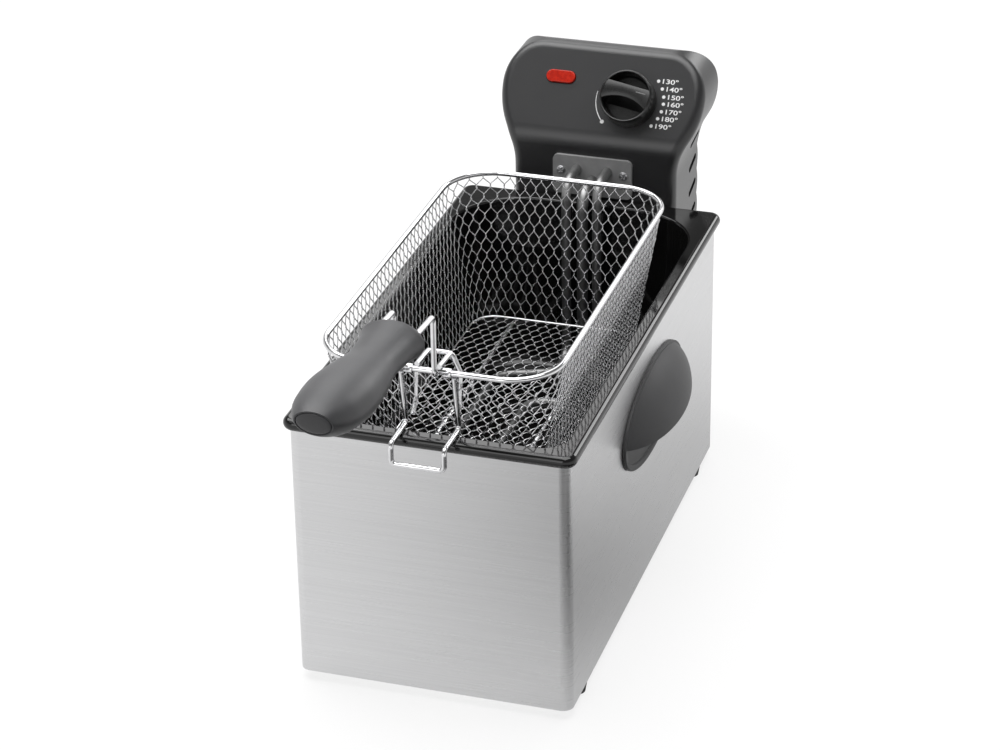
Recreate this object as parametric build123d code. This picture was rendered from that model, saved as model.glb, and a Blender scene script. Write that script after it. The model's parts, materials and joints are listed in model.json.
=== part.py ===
"""Deep fryer with a lift-out pot, a hang-on heating head and a wire basket in its drain position.

Millimetres, +Z up, the front faces -Y. The origin is the middle of the footprint at the feet.
While it is built, y = 0 is the middle of the steel casing; the last step moves the whole part.
"""
from build123d import *
import os
from math import cos, radians, sin, tan

# Clearances
SEAT = 0.3              # between pieces that rest on each other
RUNNING = 0.05          # radial, between a shaft and its hole
WIRE_GAP = 0.1          # between welded wires

# Feet and steel casing
FOOT_H = 7.0
FOOT_R = 7.0
FOOT_TAPER = 1.2        # radius lost towards the ground
FOOT_INSET_X = 7.0      # from the casing's side to the foot's middle
FOOT_INSET_Y = 36.0
CASING_W = 180.0
CASING_L = 362.0
STEEL_SHOW = 173.0      # steel that shows between its lower edge and the pot's rim
CASING_R = 7.0
CASING_SHEET = 1.0
CASING_LIP = 14.0       # inward flange at the bottom
VENT_L = 42.0
VENT_W = 5.0
VENT_PITCH = 22.0
VENT_ROWS = 6

# Oil pot
RIM_OVERHANG = 3.5      # beyond the steel
RIM_H = 8.0
RIM_SKIN = 2.0
RIM_ROUND = 3.9         # rolled outer edge, above and below
RIM_CORNER = 8.0
OPENING_SIDE = 10.5     # rim's width beside the opening
OPENING_FRONT = 10.5
OPENING_REAR = 12.5
OPENING_FRONT_R = 18.0
OPENING_REAR_R = 50.0
OPENING_ROUND = 1.6     # its upper edge
POT_DEPTH = 125.0
POT_SHEET = 1.5
POT_TAPER = 4.0
POT_FLOOR_R = 8.0

# Carry handles
HANDLE_HALF_L = 72.0
HANDLE_HALF_H = 34.0
HANDLE_REACH = 22.5
HANDLE_Y = 6.0
HANDLE_DROP = 62.0      # its middle below the rim's top
HANDLE_WALL = 3.0
HANDLE_PLATE = 2.5
HANDLE_RECESS = 1.2     # sunk middle of the plate
HANDLE_BORDER = 4.5
HANDLE_EDGE_DROP = 2.0  # the hood's lower edge hangs this far below the plate's middle
BOSS_X = 46.0
SCREW_R = 2.0
SCREW_HEAD_R = 4.0
SCREW_HEAD_H = 2.4

# Control head
HEAD_GAP = 0.8          # behind the pot's rim
HEAD_HALF_W = 58.5
HEAD_BULGE = 73.0       # half width of the panel
HEAD_DEPTH = 64.0
HEAD_DROP = 95.0        # below the rim's top
HEAD_RISE = 96.5        # above the rim's top
BEND_RISE = 42.5        # crease between the lower face and the panel
BEND_R = 22.0
PANEL_TILT = 35.0
HEAD_CORNER_R = 28.0
HEAD_BACK_R = 20.0
HEAD_WALL = 2.5
HEAD_SPLIT = 26.0       # depth of the front shell
HEAD_EDGE_R = 7.0       # round of the front outline
HEAD_SWELL_DROP = 24.5  # the cheeks begin to swell this far below the crease
LOUVRES = 6
LOUVRE_PITCH = 18.8
LOUVRE_SWELL = 2.6
LOUVRE_RISE = 21.0      # above the head's bottom
SLOT_L = 20.0
SLOT_H = 4.5
SLOT_RISE = 15.0        # degrees, up towards the rear

# Guide tongue behind the casing
TONGUE_W = 60.0
TONGUE_H = 62.0
TONGUE_SHEET = 2.0
TONGUE_OFF = 14.0       # from the casing's rear wall to the tongue's rear face
TONGUE_DROP = 18.0      # its top below the rim's top

# Heater
PLATE_W = 57.0
PLATE_H = 29.0
PLATE_T = 2.5
PLATE_R = 4.0
PLATE_LIFT = 1.2        # above the rim's top
PLATE_SCREW_X = 22.5
PLATE_SCREW_RISE = 19.0  # above the rim's top
PLATE_SCREW_R = 3.0
PLATE_SCREW_H = 1.4
TUBE_R = 3.2
TUBE_X = 11.0
TUBE_RISE = 21.0        # above the rim's top
TUBE_OUT = 27.0         # from the plate to the falling run
TUBE_BEND = 12.0
TUBE_INSIDE = 16.0      # cold ends behind the plate
LOOP_RISE = 13.0        # above the pot's floor
LOOP_OUTER_X = 50.0
LOOP_INNER_X = 17.0
LOOP_FRONT = 52.0       # from the opening's front edge
LOOP_REAR = 72.0        # from the falling run to the inner loops' rear end
LOOP_SPREAD = 28.0      # from the falling run to where the tube spreads
LOOP_TURN = 15.0
SENSOR_R = 3.9
SENSOR_RISE = 13.0
SENSOR_OUT = 25.0
SENSOR_L = 54.0         # flat run from its falling run
CLIP_BACK = 82.0        # behind the loops' front end
CLIP_W = 9.0
CLIP_T = 1.5

# Panel fittings, measured on the panel from the crease
KNOB_X = 21.5
KNOB_S = 30.5
KNOB_R = 19.0
KNOB_H = 15.0
KNOB_BAR_W = 12.5
KNOB_WALL = 2.2
KNOB_POCKET = 10.0
KNOB_REST = -10.0       # bar's slope at rest, between two marks of the scale
SHAFT_R = 3.0
SHAFT_IN_KNOB = 4.5
THERMO_W = 36.0
THERMO_D = 20.0
LAMP_X = -30.0
LAMP_S = 42.5
LAMP_L = 21.0
LAMP_W = 9.0
LAMP_PROUD = 1.6
LAMP_FLANGE = 1.2
NEON_R = 3.0
NEON_L = 11.0

# Fittings in the rear of the head
RESET_R = 3.2
RESET_X = -28.0
RESET_DROP = 44.5       # below the head's top
RESET_PROUD = 2.5
RESET_INSIDE = 1.0      # behind the cover's wall
CUTOUT_R = 9.0
CUTOUT_L = 12.0
GLAND_R = 9.0
GLAND_NECK_R = 7.0
GLAND_BORE = 4.0
GLAND_X = 30.0
GLAND_PROUD = 7.0
GLAND_INSIDE = 2.0      # behind the cover's wall
GLAND_RISE = 10.5       # above the head's bottom
TERMINAL = (34.0, 12.0, 15.0)
TERMINAL_RISE = 57.0    # above the head's bottom
SWITCH = (20.0, 7.0, 11.0)
PLUNGER_R = 1.8
PLUNGER_L = 5.0
COVER_SCREW_X = 44.0
COVER_SCREW_R = 3.5
COVER_SCREW_H = 1.6
COVER_SCREW_OFF = 7.0   # beyond the louvres

# Wire basket
BASKET_HALF_W = 75.2
BASKET_L = 289.5
BASKET_BACK = 0.0       # its front wire behind the opening's front edge
BASKET_RISE = 42.0      # its rim above the pot's rim
BASKET_DEPTH = 100.0
BASKET_TAPER = 10.0
BASKET_FRONT_R = 32.5
BASKET_BACK_R = 34.0
RIM_WIRE_R = 1.8
NET_T = 1.0
NET_CELL = 16.0         # across the flats of a gap
NET_WEB = 4.0
NET_MARGIN = 3.0
STAY_X = 32.0           # wires under the floor
STAY_R = 1.5
HOOK_X = 16.8
HOOK_R = 1.7
HOOK_REACH = 13.5       # in front of the pot's rim
HOOK_DROP = 13.5
HOOK_BEND = 3.2
BRACKET_TOP_X = 8.0
BRACKET_LOW_X = 14.0
BRACKET_DEPTH = 21.5
BRACKET_RISE = 2.0
BRACKET_KNEE = 10.0     # below the rim, where its legs turn inwards
BRACKET_R = 1.6
ARM_INSET = 1.0         # arms nearer the middle than the frame's top

# Basket handle
LEG_X = 12.2
LEG_R = 1.7
LEG_REACH = 24.0        # in front of the basket's rim
LEG_LOW_RISE = 13.0     # above the basket's rim
LEG_TOP_RISE = 49.0
LEG_BEND = 3.6
EYE_L = 5.0
EYE_WALL = 1.1
GRIP_GAP = 35.0         # from the legs to the grip's inner end
GRIP_L = 128.0
GRIP_TILT = 4.5
GRIP_INSERT = 40.0
BORE_SPARE = 1.0        # bore beyond the wire's end
CAP_T = 1.2
CAP_EDGE = 1.0          # the grip's rim round the cap

# Levels and faces that follow from the sizes above
STEEL_BOTTOM = FOOT_H
RIM_BOTTOM = STEEL_BOTTOM + STEEL_SHOW
RIM_TOP = RIM_BOTTOM + RIM_H
CASING_TOP = RIM_TOP - RIM_SKIN
RIM_W = CASING_W + 2 * RIM_OVERHANG
RIM_L = CASING_L + 2 * RIM_OVERHANG
RIM_REAR_Y = RIM_L / 2
POT_FLOOR = RIM_TOP - POT_DEPTH
CASING_REAR_Y = CASING_L / 2
HEAD_Y = RIM_REAR_Y + HEAD_GAP
HEAD_REAR_Y = HEAD_Y + HEAD_DEPTH
HEAD_TOP = RIM_TOP + HEAD_RISE
HEAD_BOTTOM = RIM_TOP - HEAD_DROP
HANDLE_Z = RIM_TOP - HANDLE_DROP
TONGUE_TOP = RIM_TOP - TONGUE_DROP
LOUVRE_Z = HEAD_BOTTOM + LOUVRE_RISE
RESET_Z = HEAD_TOP - RESET_DROP
GLAND_Z = HEAD_BOTTOM + GLAND_RISE
TERMINAL_Z = HEAD_BOTTOM + TERMINAL_RISE
BEND_Z = RIM_TOP + BEND_RISE
OPENING_FRONT_Y = -RIM_L / 2 + OPENING_FRONT
BASKET_FRONT_Y = OPENING_FRONT_Y + BASKET_BACK
BASKET_BACK_Y = BASKET_FRONT_Y + BASKET_L
BASKET_RIM_Z = RIM_TOP + BASKET_RISE
BASKET_FLOOR = BASKET_RIM_Z - BASKET_DEPTH
BASKET_INSET = BASKET_DEPTH * tan(radians(BASKET_TAPER))
HOOK_Z = RIM_TOP + SEAT + HOOK_R
HOOK_REACH_Y = -RIM_L / 2 - HOOK_REACH
LEG_Y = BASKET_FRONT_Y - LEG_REACH
GRIP_Y = LEG_Y - GRIP_GAP
LEG_TOP_Z = BASKET_RIM_Z + LEG_TOP_RISE
LEG_LOW_Z = BASKET_RIM_Z + LEG_LOW_RISE

# The panel: x across, y up the slope, z outwards
PANEL = Plane(
    origin=(0, HEAD_Y, BEND_Z),
    x_dir=(1, 0, 0),
    z_dir=(0, -cos(radians(PANEL_TILT)), sin(radians(PANEL_TILT))),
)


def rounded_plan(width, y0, y1, front_r, back_r):
    """A plan outline, symmetric in x, with its own front and back corner radii."""
    plan = Pos(0, (y0 + y1) / 2) * Rectangle(width, y1 - y0)
    plan = fillet(plan.vertices().group_by(Axis.Y)[0], front_r)
    return fillet(plan.vertices().group_by(Axis.Y)[-1], back_r)


def tube(path, radius):
    """A round wire or tube along a path."""
    return sweep(Plane(path @ 0, z_dir=path % 0) * Circle(radius), path=path)


def rod(start, end, radius):
    """A straight round bar between two points."""
    line = Line(start, end)
    return extrude(Plane(line @ 0, z_dir=line % 0) * Circle(radius), amount=line.length)


def mirrored(solid):
    """The solid and its mirror image in the plane x = 0."""
    return [solid, mirror(solid, about=Plane.YZ)]


def casing():
    outer = RectangleRounded(CASING_W, CASING_L, CASING_R)
    inner = offset(outer, -CASING_SHEET)
    wall = Pos(0, 0, STEEL_BOTTOM) * extrude(outer - inner, CASING_TOP - STEEL_BOTTOM)
    window = offset(outer, -CASING_LIP)
    lip = Pos(0, 0, STEEL_BOTTOM) * extrude(outer - window, CASING_SHEET)
    shell = wall + lip
    for side in (-1, 1):
        for y in (-BOSS_X, BOSS_X):
            hole = Pos(side * CASING_W / 2, HANDLE_Y + y, HANDLE_Z) * Rot(0, 90, 0)
            shell -= hole * Cylinder(SCREW_R + RUNNING, 4 * CASING_SHEET)
    return shell


def base_plate():
    inside = offset(RectangleRounded(CASING_W, CASING_L, CASING_R), -CASING_SHEET - SEAT)
    slots = Sketch() + [
        Pos(x, (row - (VENT_ROWS - 1) / 2) * VENT_PITCH) * SlotOverall(VENT_L, VENT_W)
        for x in (-VENT_L * 0.65, VENT_L * 0.65)
        for row in range(VENT_ROWS)
    ]
    return Pos(0, 0, STEEL_BOTTOM + CASING_SHEET) * extrude(inside - slots, CASING_SHEET)


def feet():
    foot = Cone(FOOT_R - FOOT_TAPER, FOOT_R, FOOT_H, align=(Align.CENTER, Align.CENTER, Align.MIN))
    foot_x = CASING_W / 2 - FOOT_INSET_X
    foot_y = CASING_L / 2 - FOOT_INSET_Y
    return [Pos(x, y, 0) * foot for x in (-foot_x, foot_x) for y in (-foot_y, foot_y)]


def carry_handle():
    """Right-hand hood grip: an oval plate on the steel and a domed hood open below."""
    def dome(inset):
        ball = scale(Sphere(1), by=(HANDLE_REACH - inset, HANDLE_HALF_L - inset, HANDLE_HALF_H - inset))
        keep = Box(2 * HANDLE_REACH, 4 * HANDLE_HALF_L, 4 * HANDLE_HALF_H)
        return ball & Pos(HANDLE_REACH + HANDLE_PLATE / 2, 0, 0) * keep

    low = -2 * HANDLE_HALF_H
    below = Polyline(
        (0, 0), (HANDLE_REACH, -HANDLE_EDGE_DROP), (2 * HANDLE_REACH, -2 * HANDLE_EDGE_DROP),
        (2 * HANDLE_REACH, low), (0, low), close=True,
    )
    opening = extrude(Plane.XZ * make_face(below), 2 * HANDLE_HALF_L, both=True)
    hood = dome(0) - dome(HANDLE_WALL) - opening
    plate = extrude(Plane.YZ * Ellipse(HANDLE_HALF_L, HANDLE_HALF_H), HANDLE_PLATE)
    sunk = Ellipse(HANDLE_HALF_L - HANDLE_BORDER, HANDLE_HALF_H - HANDLE_BORDER)
    plate -= Pos(HANDLE_PLATE - HANDLE_RECESS, 0, 0) * extrude(Plane.YZ * sunk, HANDLE_PLATE)
    grip = hood + plate
    for y in (-BOSS_X, BOSS_X):
        grip -= Pos(0, y, 0) * Rot(0, 90, 0) * Cylinder(SCREW_R + RUNNING, 3 * HANDLE_PLATE)
    return Pos(CASING_W / 2, HANDLE_Y, HANDLE_Z) * grip


def handle_screws():
    head = Cylinder(SCREW_HEAD_R, SCREW_HEAD_H, align=(Align.CENTER, Align.CENTER, Align.MAX))
    shank = Cylinder(SCREW_R, CASING_SHEET + HANDLE_PLATE, align=(Align.CENTER, Align.CENTER, Align.MIN))
    screw = Rot(0, 90, 0) * (head + shank)
    inner_x = CASING_W / 2 - CASING_SHEET
    right = [Pos(inner_x, HANDLE_Y + y, HANDLE_Z) * screw for y in (-BOSS_X, BOSS_X)]
    return [half for one in right for half in mirrored(one)]


def head_guide():
    """Tongue behind the casing that the head slides down on."""
    y0 = CASING_REAR_Y
    outline = Polyline(
        (-TONGUE_W / 2, y0), (-TONGUE_W / 2, y0 + TONGUE_OFF),
        (TONGUE_W / 2, y0 + TONGUE_OFF), (TONGUE_W / 2, y0), close=True,
    )
    channel = make_face(outline)
    channel -= Pos(0, y0 + (TONGUE_OFF - TONGUE_SHEET) / 2) * Rectangle(
        TONGUE_W - 2 * TONGUE_SHEET, TONGUE_OFF - TONGUE_SHEET)
    return Pos(0, 0, TONGUE_TOP - TONGUE_H) * extrude(channel, TONGUE_H)


def oil_pot():
    """Enamelled pot whose rolled rim hangs over the casing's top edge."""
    rim_plan = RectangleRounded(RIM_W, RIM_L, RIM_CORNER)
    opening = rounded_plan(
        RIM_W - 2 * OPENING_SIDE, OPENING_FRONT_Y, RIM_L / 2 - OPENING_REAR,
        OPENING_FRONT_R, OPENING_REAR_R)
    band = Pos(0, 0, RIM_BOTTOM) * extrude(rim_plan, RIM_H)
    levels = band.edges().group_by(Axis.Z)
    band = fillet(levels[0] + levels[-1], RIM_ROUND)
    channel = offset(rim_plan, -RIM_SKIN) - offset(opening, POT_SHEET)
    band -= Pos(0, 0, RIM_BOTTOM) * extrude(channel, RIM_H - RIM_SKIN)
    well = Pos(0, 0, RIM_TOP) * extrude(opening, -POT_DEPTH, taper=POT_TAPER)
    well = fillet(well.edges().group_by(Axis.Z)[0], POT_FLOOR_R)
    skin = Pos(0, 0, RIM_TOP) * extrude(offset(opening, POT_SHEET), -POT_DEPTH - POT_SHEET, taper=POT_TAPER)
    skin = fillet(skin.edges().group_by(Axis.Z)[0], POT_FLOOR_R + POT_SHEET)
    pot = band + skin - well
    mouth = [
        e for e in pot.edges().group_by(Axis.Z)[-1]
        if abs(e.center().X) < RIM_W / 2 - OPENING_SIDE + SEAT
        and OPENING_FRONT_Y - SEAT < e.center().Y < RIM_L / 2 - OPENING_REAR + SEAT
    ]
    return fillet(mouth, OPENING_ROUND)


def head_profile(inset, louvred):
    """Side view of the head in y and z, with swelling louvres on the outer rear face."""
    run = (HEAD_TOP - BEND_Z) * tan(radians(PANEL_TILT))
    corners = [
        (HEAD_Y, HEAD_BOTTOM), (HEAD_Y, BEND_Z), (HEAD_Y + run, HEAD_TOP),
        (HEAD_REAR_Y, HEAD_TOP), (HEAD_REAR_Y, HEAD_BOTTOM),
    ]
    face = make_face(Polyline(*corners, close=True))
    face = fillet(face.vertices().filter_by_position(Axis.Y, BEND_Z - 1, BEND_Z + 1), BEND_R)
    face = fillet(face.vertices().group_by(Axis.Y)[-1].sort_by(Axis.X)[-1], HEAD_BACK_R)
    if inset:
        face = offset(face, -inset)
    if louvred:
        for i in range(LOUVRES):
            z = LOUVRE_Z + i * LOUVRE_PITCH
            swell = SagittaArc((HEAD_REAR_Y, z), (HEAD_REAR_Y, z + LOUVRE_PITCH), -LOUVRE_SWELL)
            back = Polyline(swell @ 1, (HEAD_REAR_Y - 1, z + LOUVRE_PITCH), (HEAD_REAR_Y - 1, z), swell @ 0)
            face += make_face([swell, back])
    return face


def head_front_view(inset):
    """Front view of the head in x and z: straight cheeks that swell into the wide panel."""
    swell_z = BEND_Z - HEAD_SWELL_DROP
    bulge_z = HEAD_TOP - HEAD_CORNER_R
    mid = ((HEAD_HALF_W + HEAD_BULGE) / 2, (swell_z + bulge_z) / 2)
    low = (HEAD_HALF_W, swell_z)
    wide = (HEAD_BULGE, bulge_z)
    top = (HEAD_BULGE - HEAD_CORNER_R, HEAD_TOP)
    half = [
        Line((0, HEAD_BOTTOM), (HEAD_HALF_W, HEAD_BOTTOM)),
        Line((HEAD_HALF_W, HEAD_BOTTOM), low),
        TangentArc(low, mid, tangent=(0, 1)),
        TangentArc(wide, mid, tangent=(0, -1)),
        TangentArc(wide, top, tangent=(0, 1)),
        Line(top, (0, HEAD_TOP)),
        Line((0, HEAD_TOP), (0, HEAD_BOTTOM)),
    ]
    right = make_face(half)
    face = right + mirror(right, about=Plane.YZ)
    return offset(face, -inset) if inset else face


def head_block(inset, louvred=False):
    side = extrude(Plane.YZ * head_profile(inset, louvred), 2 * HEAD_BULGE, both=True)
    front = extrude(Plane.XZ * head_front_view(inset), 2 * HEAD_REAR_Y, both=True)
    return side & front


def softened(block, radius):
    """The head's block with its front outline rounded along the sides and the top."""
    front = [f for f in block.faces() if abs(f.normal_at().X) < 0.02 and f.normal_at().Y < -0.05]
    top = block.bounding_box().max.Z
    outline = [
        e for f in front for e in f.edges()
        if abs(e.center().X) > HEAD_HALF_W / 2 or e.center().Z > top - HEAD_WALL
    ]
    return fillet(outline, radius)


def head_split():
    """Everything behind the seam between the front shell and the rear cover."""
    tilt = tan(radians(PANEL_TILT))
    y = HEAD_Y + HEAD_SPLIT
    turn_z = BEND_Z - HEAD_SPLIT * (1 / cos(radians(PANEL_TILT)) - 1) / tilt
    far = HEAD_REAR_Y + 2 * HEAD_SPLIT
    outline = Polyline(
        (y, 0), (y, turn_z), (far, turn_z + (far - y) / tilt), (far, 0), close=True)
    return extrude(Plane.YZ * make_face(outline), 2 * HEAD_BULGE, both=True)


def guide_pocket():
    """Room for the tongue in the head's lower front face."""
    top = TONGUE_TOP + SEAT
    depth = CASING_REAR_Y + TONGUE_OFF + SEAT - HEAD_Y
    return Pos(0, HEAD_Y, HEAD_BOTTOM) * Box(
        TONGUE_W + 2 * SEAT, 2 * depth, 2 * (top - HEAD_BOTTOM))


def pocket_liner():
    """Walls round the guide pocket, inside the front shell."""
    top = TONGUE_TOP + SEAT + HEAD_WALL
    depth = CASING_REAR_Y + TONGUE_OFF + SEAT + HEAD_WALL - HEAD_Y
    return Pos(0, HEAD_Y, HEAD_BOTTOM) * Box(
        TONGUE_W + 2 * SEAT + 2 * HEAD_WALL, depth, top - HEAD_BOTTOM,
        align=(Align.CENTER, Align.MIN, Align.MIN))


def plunger_hole(extra):
    z = TONGUE_TOP + SEAT
    y = CASING_REAR_Y + TONGUE_OFF - TONGUE_SHEET / 2
    return Pos(0, y, z) * Cylinder(
        PLUNGER_R + extra, PLUNGER_L, align=(Align.CENTER, Align.CENTER, Align.MIN))


def lamp_outline(extra=0.0):
    return Pos(LAMP_X, LAMP_S) * SlotOverall(LAMP_L + 2 * extra, LAMP_W + 2 * extra)


def plate_outline(extra=0.0):
    z = RIM_TOP + PLATE_LIFT + PLATE_H / 2
    plane = Plane(origin=(0, HEAD_Y, z), x_dir=(1, 0, 0), z_dir=(0, -1, 0))
    return plane * RectangleRounded(PLATE_W + 2 * extra, PLATE_H + 2 * extra, PLATE_R)


def head_front_shell(block, cavity):
    shell = block - head_split() - cavity
    shell += pocket_liner()
    shell -= guide_pocket()
    shell -= plunger_hole(RUNNING)
    shell -= PANEL * Pos(KNOB_X, KNOB_S) * Cylinder(SHAFT_R + SEAT, 4 * HEAD_WALL)
    shell -= extrude(PANEL * lamp_outline(SEAT), 2 * HEAD_WALL, both=True)
    shell -= extrude(plate_outline(-PLATE_R), 2 * HEAD_WALL, both=True)
    return shell


def head_rear_cover(block, cavity):
    cover = block & head_split()
    cover -= cavity
    slot = Rot(0, 0, SLOT_RISE) * SlotOverall(SLOT_L, SLOT_H)
    for i in range(LOUVRES):
        centre = (HEAD_REAR_Y - SLOT_L / 2 - HEAD_WALL, LOUVRE_Z + (i + 0.5) * LOUVRE_PITCH)
        cover -= extrude(Plane.YZ * Pos(*centre) * slot, 2 * HEAD_BULGE, both=True)
    rear = Plane(origin=(0, HEAD_REAR_Y, 0), x_dir=(-1, 0, 0), z_dir=(0, 1, 0))
    through = 4 * LOUVRE_SWELL
    cover -= rear * Pos(-RESET_X, RESET_Z) * Cylinder(RESET_R + RUNNING, through)
    cover -= rear * Pos(-GLAND_X, GLAND_Z) * Cylinder(GLAND_NECK_R + RUNNING, through)
    return cover


def heater_plate():
    plate = extrude(plate_outline(), PLATE_T)
    for x in (-TUBE_X, TUBE_X):
        plate -= rod((x, HEAD_Y, RIM_TOP + TUBE_RISE), (x, HEAD_Y - PLATE_T, RIM_TOP + TUBE_RISE), TUBE_R)
    plate -= rod((0, HEAD_Y, RIM_TOP + SENSOR_RISE), (0, HEAD_Y - PLATE_T, RIM_TOP + SENSOR_RISE), SENSOR_R)
    return plate


def plate_screws():
    z = RIM_TOP + PLATE_SCREW_RISE
    y = HEAD_Y - PLATE_T
    return [rod((x, y, z), (x, y - PLATE_SCREW_H, z), PLATE_SCREW_R)
            for x in (-PLATE_SCREW_X, PLATE_SCREW_X)]


def heating_element():
    """One tube: down behind the basket, forward and back in two long loops under it."""
    rise = RIM_TOP + TUBE_RISE
    low = POT_FLOOR + LOOP_RISE
    fall_y = HEAD_Y - PLATE_T - TUBE_OUT
    front_y = OPENING_FRONT_Y + LOOP_FRONT
    half = [
        (TUBE_X, HEAD_Y + TUBE_INSIDE, rise),
        (TUBE_X, fall_y, rise),
        (TUBE_X, fall_y, low),
        (TUBE_X, fall_y - LOOP_SPREAD, low),
        (LOOP_OUTER_X, fall_y - LOOP_SPREAD - LOOP_TURN, low),
        (LOOP_OUTER_X, front_y, low),
        (LOOP_INNER_X, front_y, low),
        (LOOP_INNER_X, fall_y - LOOP_REAR, low),
    ]
    points = half + [(-x, y, z) for x, y, z in reversed(half)]
    bends = [TUBE_BEND, TUBE_BEND, TUBE_BEND, LOOP_TURN, LOOP_TURN, LOOP_TURN, LOOP_TURN]
    path = FilletPolyline(*points, radius=bends + list(reversed(bends)))
    return tube(path, TUBE_R)


def sensor_tube():
    """Sheath of the thermostat's feeler, beside the tubes."""
    rise = RIM_TOP + SENSOR_RISE
    fall_y = HEAD_Y - PLATE_T - SENSOR_OUT
    low = POT_FLOOR + LOOP_RISE + 2 * TUBE_R
    path = FilletPolyline(
        (0, HEAD_Y + TUBE_INSIDE, rise), (0, fall_y, rise), (0, fall_y, low), (0, fall_y - SENSOR_L, low),
        radius=TUBE_BEND)
    return tube(path, SENSOR_R)


def element_clip():
    """Strap that keeps the four runs apart and stands them off the floor."""
    top = POT_FLOOR + LOOP_RISE - TUBE_R
    width = 2 * (LOOP_OUTER_X + TUBE_R)
    y = OPENING_FRONT_Y + LOOP_FRONT + CLIP_BACK
    strap = Pos(0, y, top - CLIP_T / 2) * Box(width, CLIP_W, CLIP_T)
    leg_h = LOOP_RISE - TUBE_R - SEAT
    leg = Pos(width / 2 - CLIP_T / 2, y, top - leg_h / 2) * Box(CLIP_T, CLIP_W, leg_h)
    return strap + mirrored(leg)


def thermostat_knob():
    """Cup-shaped knob with a bar across it; its slope at rest reads between two marks."""
    body = Cylinder(KNOB_R, KNOB_H, align=(Align.CENTER, Align.CENTER, Align.MIN))
    body = fillet(body.edges().group_by(Axis.Z)[-1], KNOB_WALL / 2)
    pocket = Circle(KNOB_R - KNOB_WALL) - Rectangle(2 * KNOB_R, KNOB_BAR_W)
    body -= Pos(0, 0, KNOB_H - KNOB_POCKET) * extrude(pocket, KNOB_POCKET)
    body -= Cylinder(SHAFT_R + RUNNING, 2 * SHAFT_IN_KNOB)
    body = Rot(0, 0, KNOB_REST) * body
    return PANEL * Pos(KNOB_X, KNOB_S, SEAT) * body


def thermostat_shaft():
    length = SHAFT_IN_KNOB + SEAT + HEAD_WALL + THERMO_D / 2
    return PANEL * Pos(KNOB_X, KNOB_S, SHAFT_IN_KNOB + SEAT) * Cylinder(
        SHAFT_R, length, align=(Align.CENTER, Align.CENTER, Align.MAX))


def thermostat():
    body = Pos(0, 0, -HEAD_WALL) * Box(
        THERMO_W, THERMO_W, THERMO_D, align=(Align.CENTER, Align.CENTER, Align.MAX))
    body -= Pos(0, 0, -HEAD_WALL) * Cylinder(SHAFT_R + RUNNING, 2 * THERMO_D)
    return PANEL * Pos(KNOB_X, KNOB_S) * body


def indicator_lens():
    lens = extrude(lamp_outline(), LAMP_PROUD)
    lens = fillet(lens.edges().group_by(Axis.Z)[-1], LAMP_PROUD / 2)
    lens += extrude(lamp_outline(), -HEAD_WALL)
    flange = Pos(0, 0, -HEAD_WALL) * extrude(lamp_outline(LAMP_FLANGE), -LAMP_FLANGE)
    return PANEL * (lens + flange)


def neon_lamp():
    depth = HEAD_WALL + LAMP_FLANGE
    return PANEL * Pos(LAMP_X, LAMP_S, -depth - NEON_R) * Rot(0, 90, 0) * Cylinder(NEON_R, NEON_L)


def safety_cutout():
    y = HEAD_REAR_Y - HEAD_WALL
    body = rod((RESET_X, y, RESET_Z), (RESET_X, y - CUTOUT_L, RESET_Z), CUTOUT_R)
    return body - rod((RESET_X, y, RESET_Z), (RESET_X, y - CUTOUT_L / 2, RESET_Z), RESET_R + RUNNING)


def reset_button():
    y = HEAD_REAR_Y
    return rod((RESET_X, y + RESET_PROUD, RESET_Z), (RESET_X, y - HEAD_WALL - RESET_INSIDE, RESET_Z), RESET_R)


def cable_gland():
    y = HEAD_REAR_Y
    inside = HEAD_WALL + GLAND_INSIDE
    body = rod((GLAND_X, y + SEAT, GLAND_Z), (GLAND_X, y + GLAND_PROUD, GLAND_Z), GLAND_R)
    body += rod((GLAND_X, y - inside, GLAND_Z), (GLAND_X, y + SEAT, GLAND_Z), GLAND_NECK_R)
    return body - rod((GLAND_X, y - inside, GLAND_Z), (GLAND_X, y + GLAND_PROUD, GLAND_Z), GLAND_BORE)


def terminal_block():
    return Pos(0, HEAD_REAR_Y - HEAD_WALL, TERMINAL_Z) * Box(
        *TERMINAL, align=(Align.CENTER, Align.MAX, Align.CENTER))


def interlock_switch():
    z = TONGUE_TOP + SEAT + HEAD_WALL
    y = CASING_REAR_Y + TONGUE_OFF - TONGUE_SHEET / 2
    body = Pos(0, y, z) * Box(*SWITCH, align=(Align.CENTER, Align.CENTER, Align.MIN))
    return body - plunger_hole(RUNNING) - Pos(0, 0, PLUNGER_L) * plunger_hole(RUNNING)


def cover_screws():
    y = HEAD_REAR_Y
    rows = (LOUVRE_Z + LOUVRES * LOUVRE_PITCH + COVER_SCREW_OFF, LOUVRE_Z - COVER_SCREW_OFF)
    return [rod((x, y, z), (x, y + COVER_SCREW_H, z), COVER_SCREW_R)
            for x in (-COVER_SCREW_X, COVER_SCREW_X) for z in rows]


def basket_plan(inset=0.0):
    return rounded_plan(
        2 * (BASKET_HALF_W - inset), BASKET_FRONT_Y + inset, BASKET_BACK_Y - inset,
        BASKET_FRONT_R - inset, BASKET_BACK_R - inset)


def basket_rim():
    path = Pos(0, 0, BASKET_RIM_Z) * basket_plan().face().outer_wire()
    return tube(path, RIM_WIRE_R)


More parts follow.
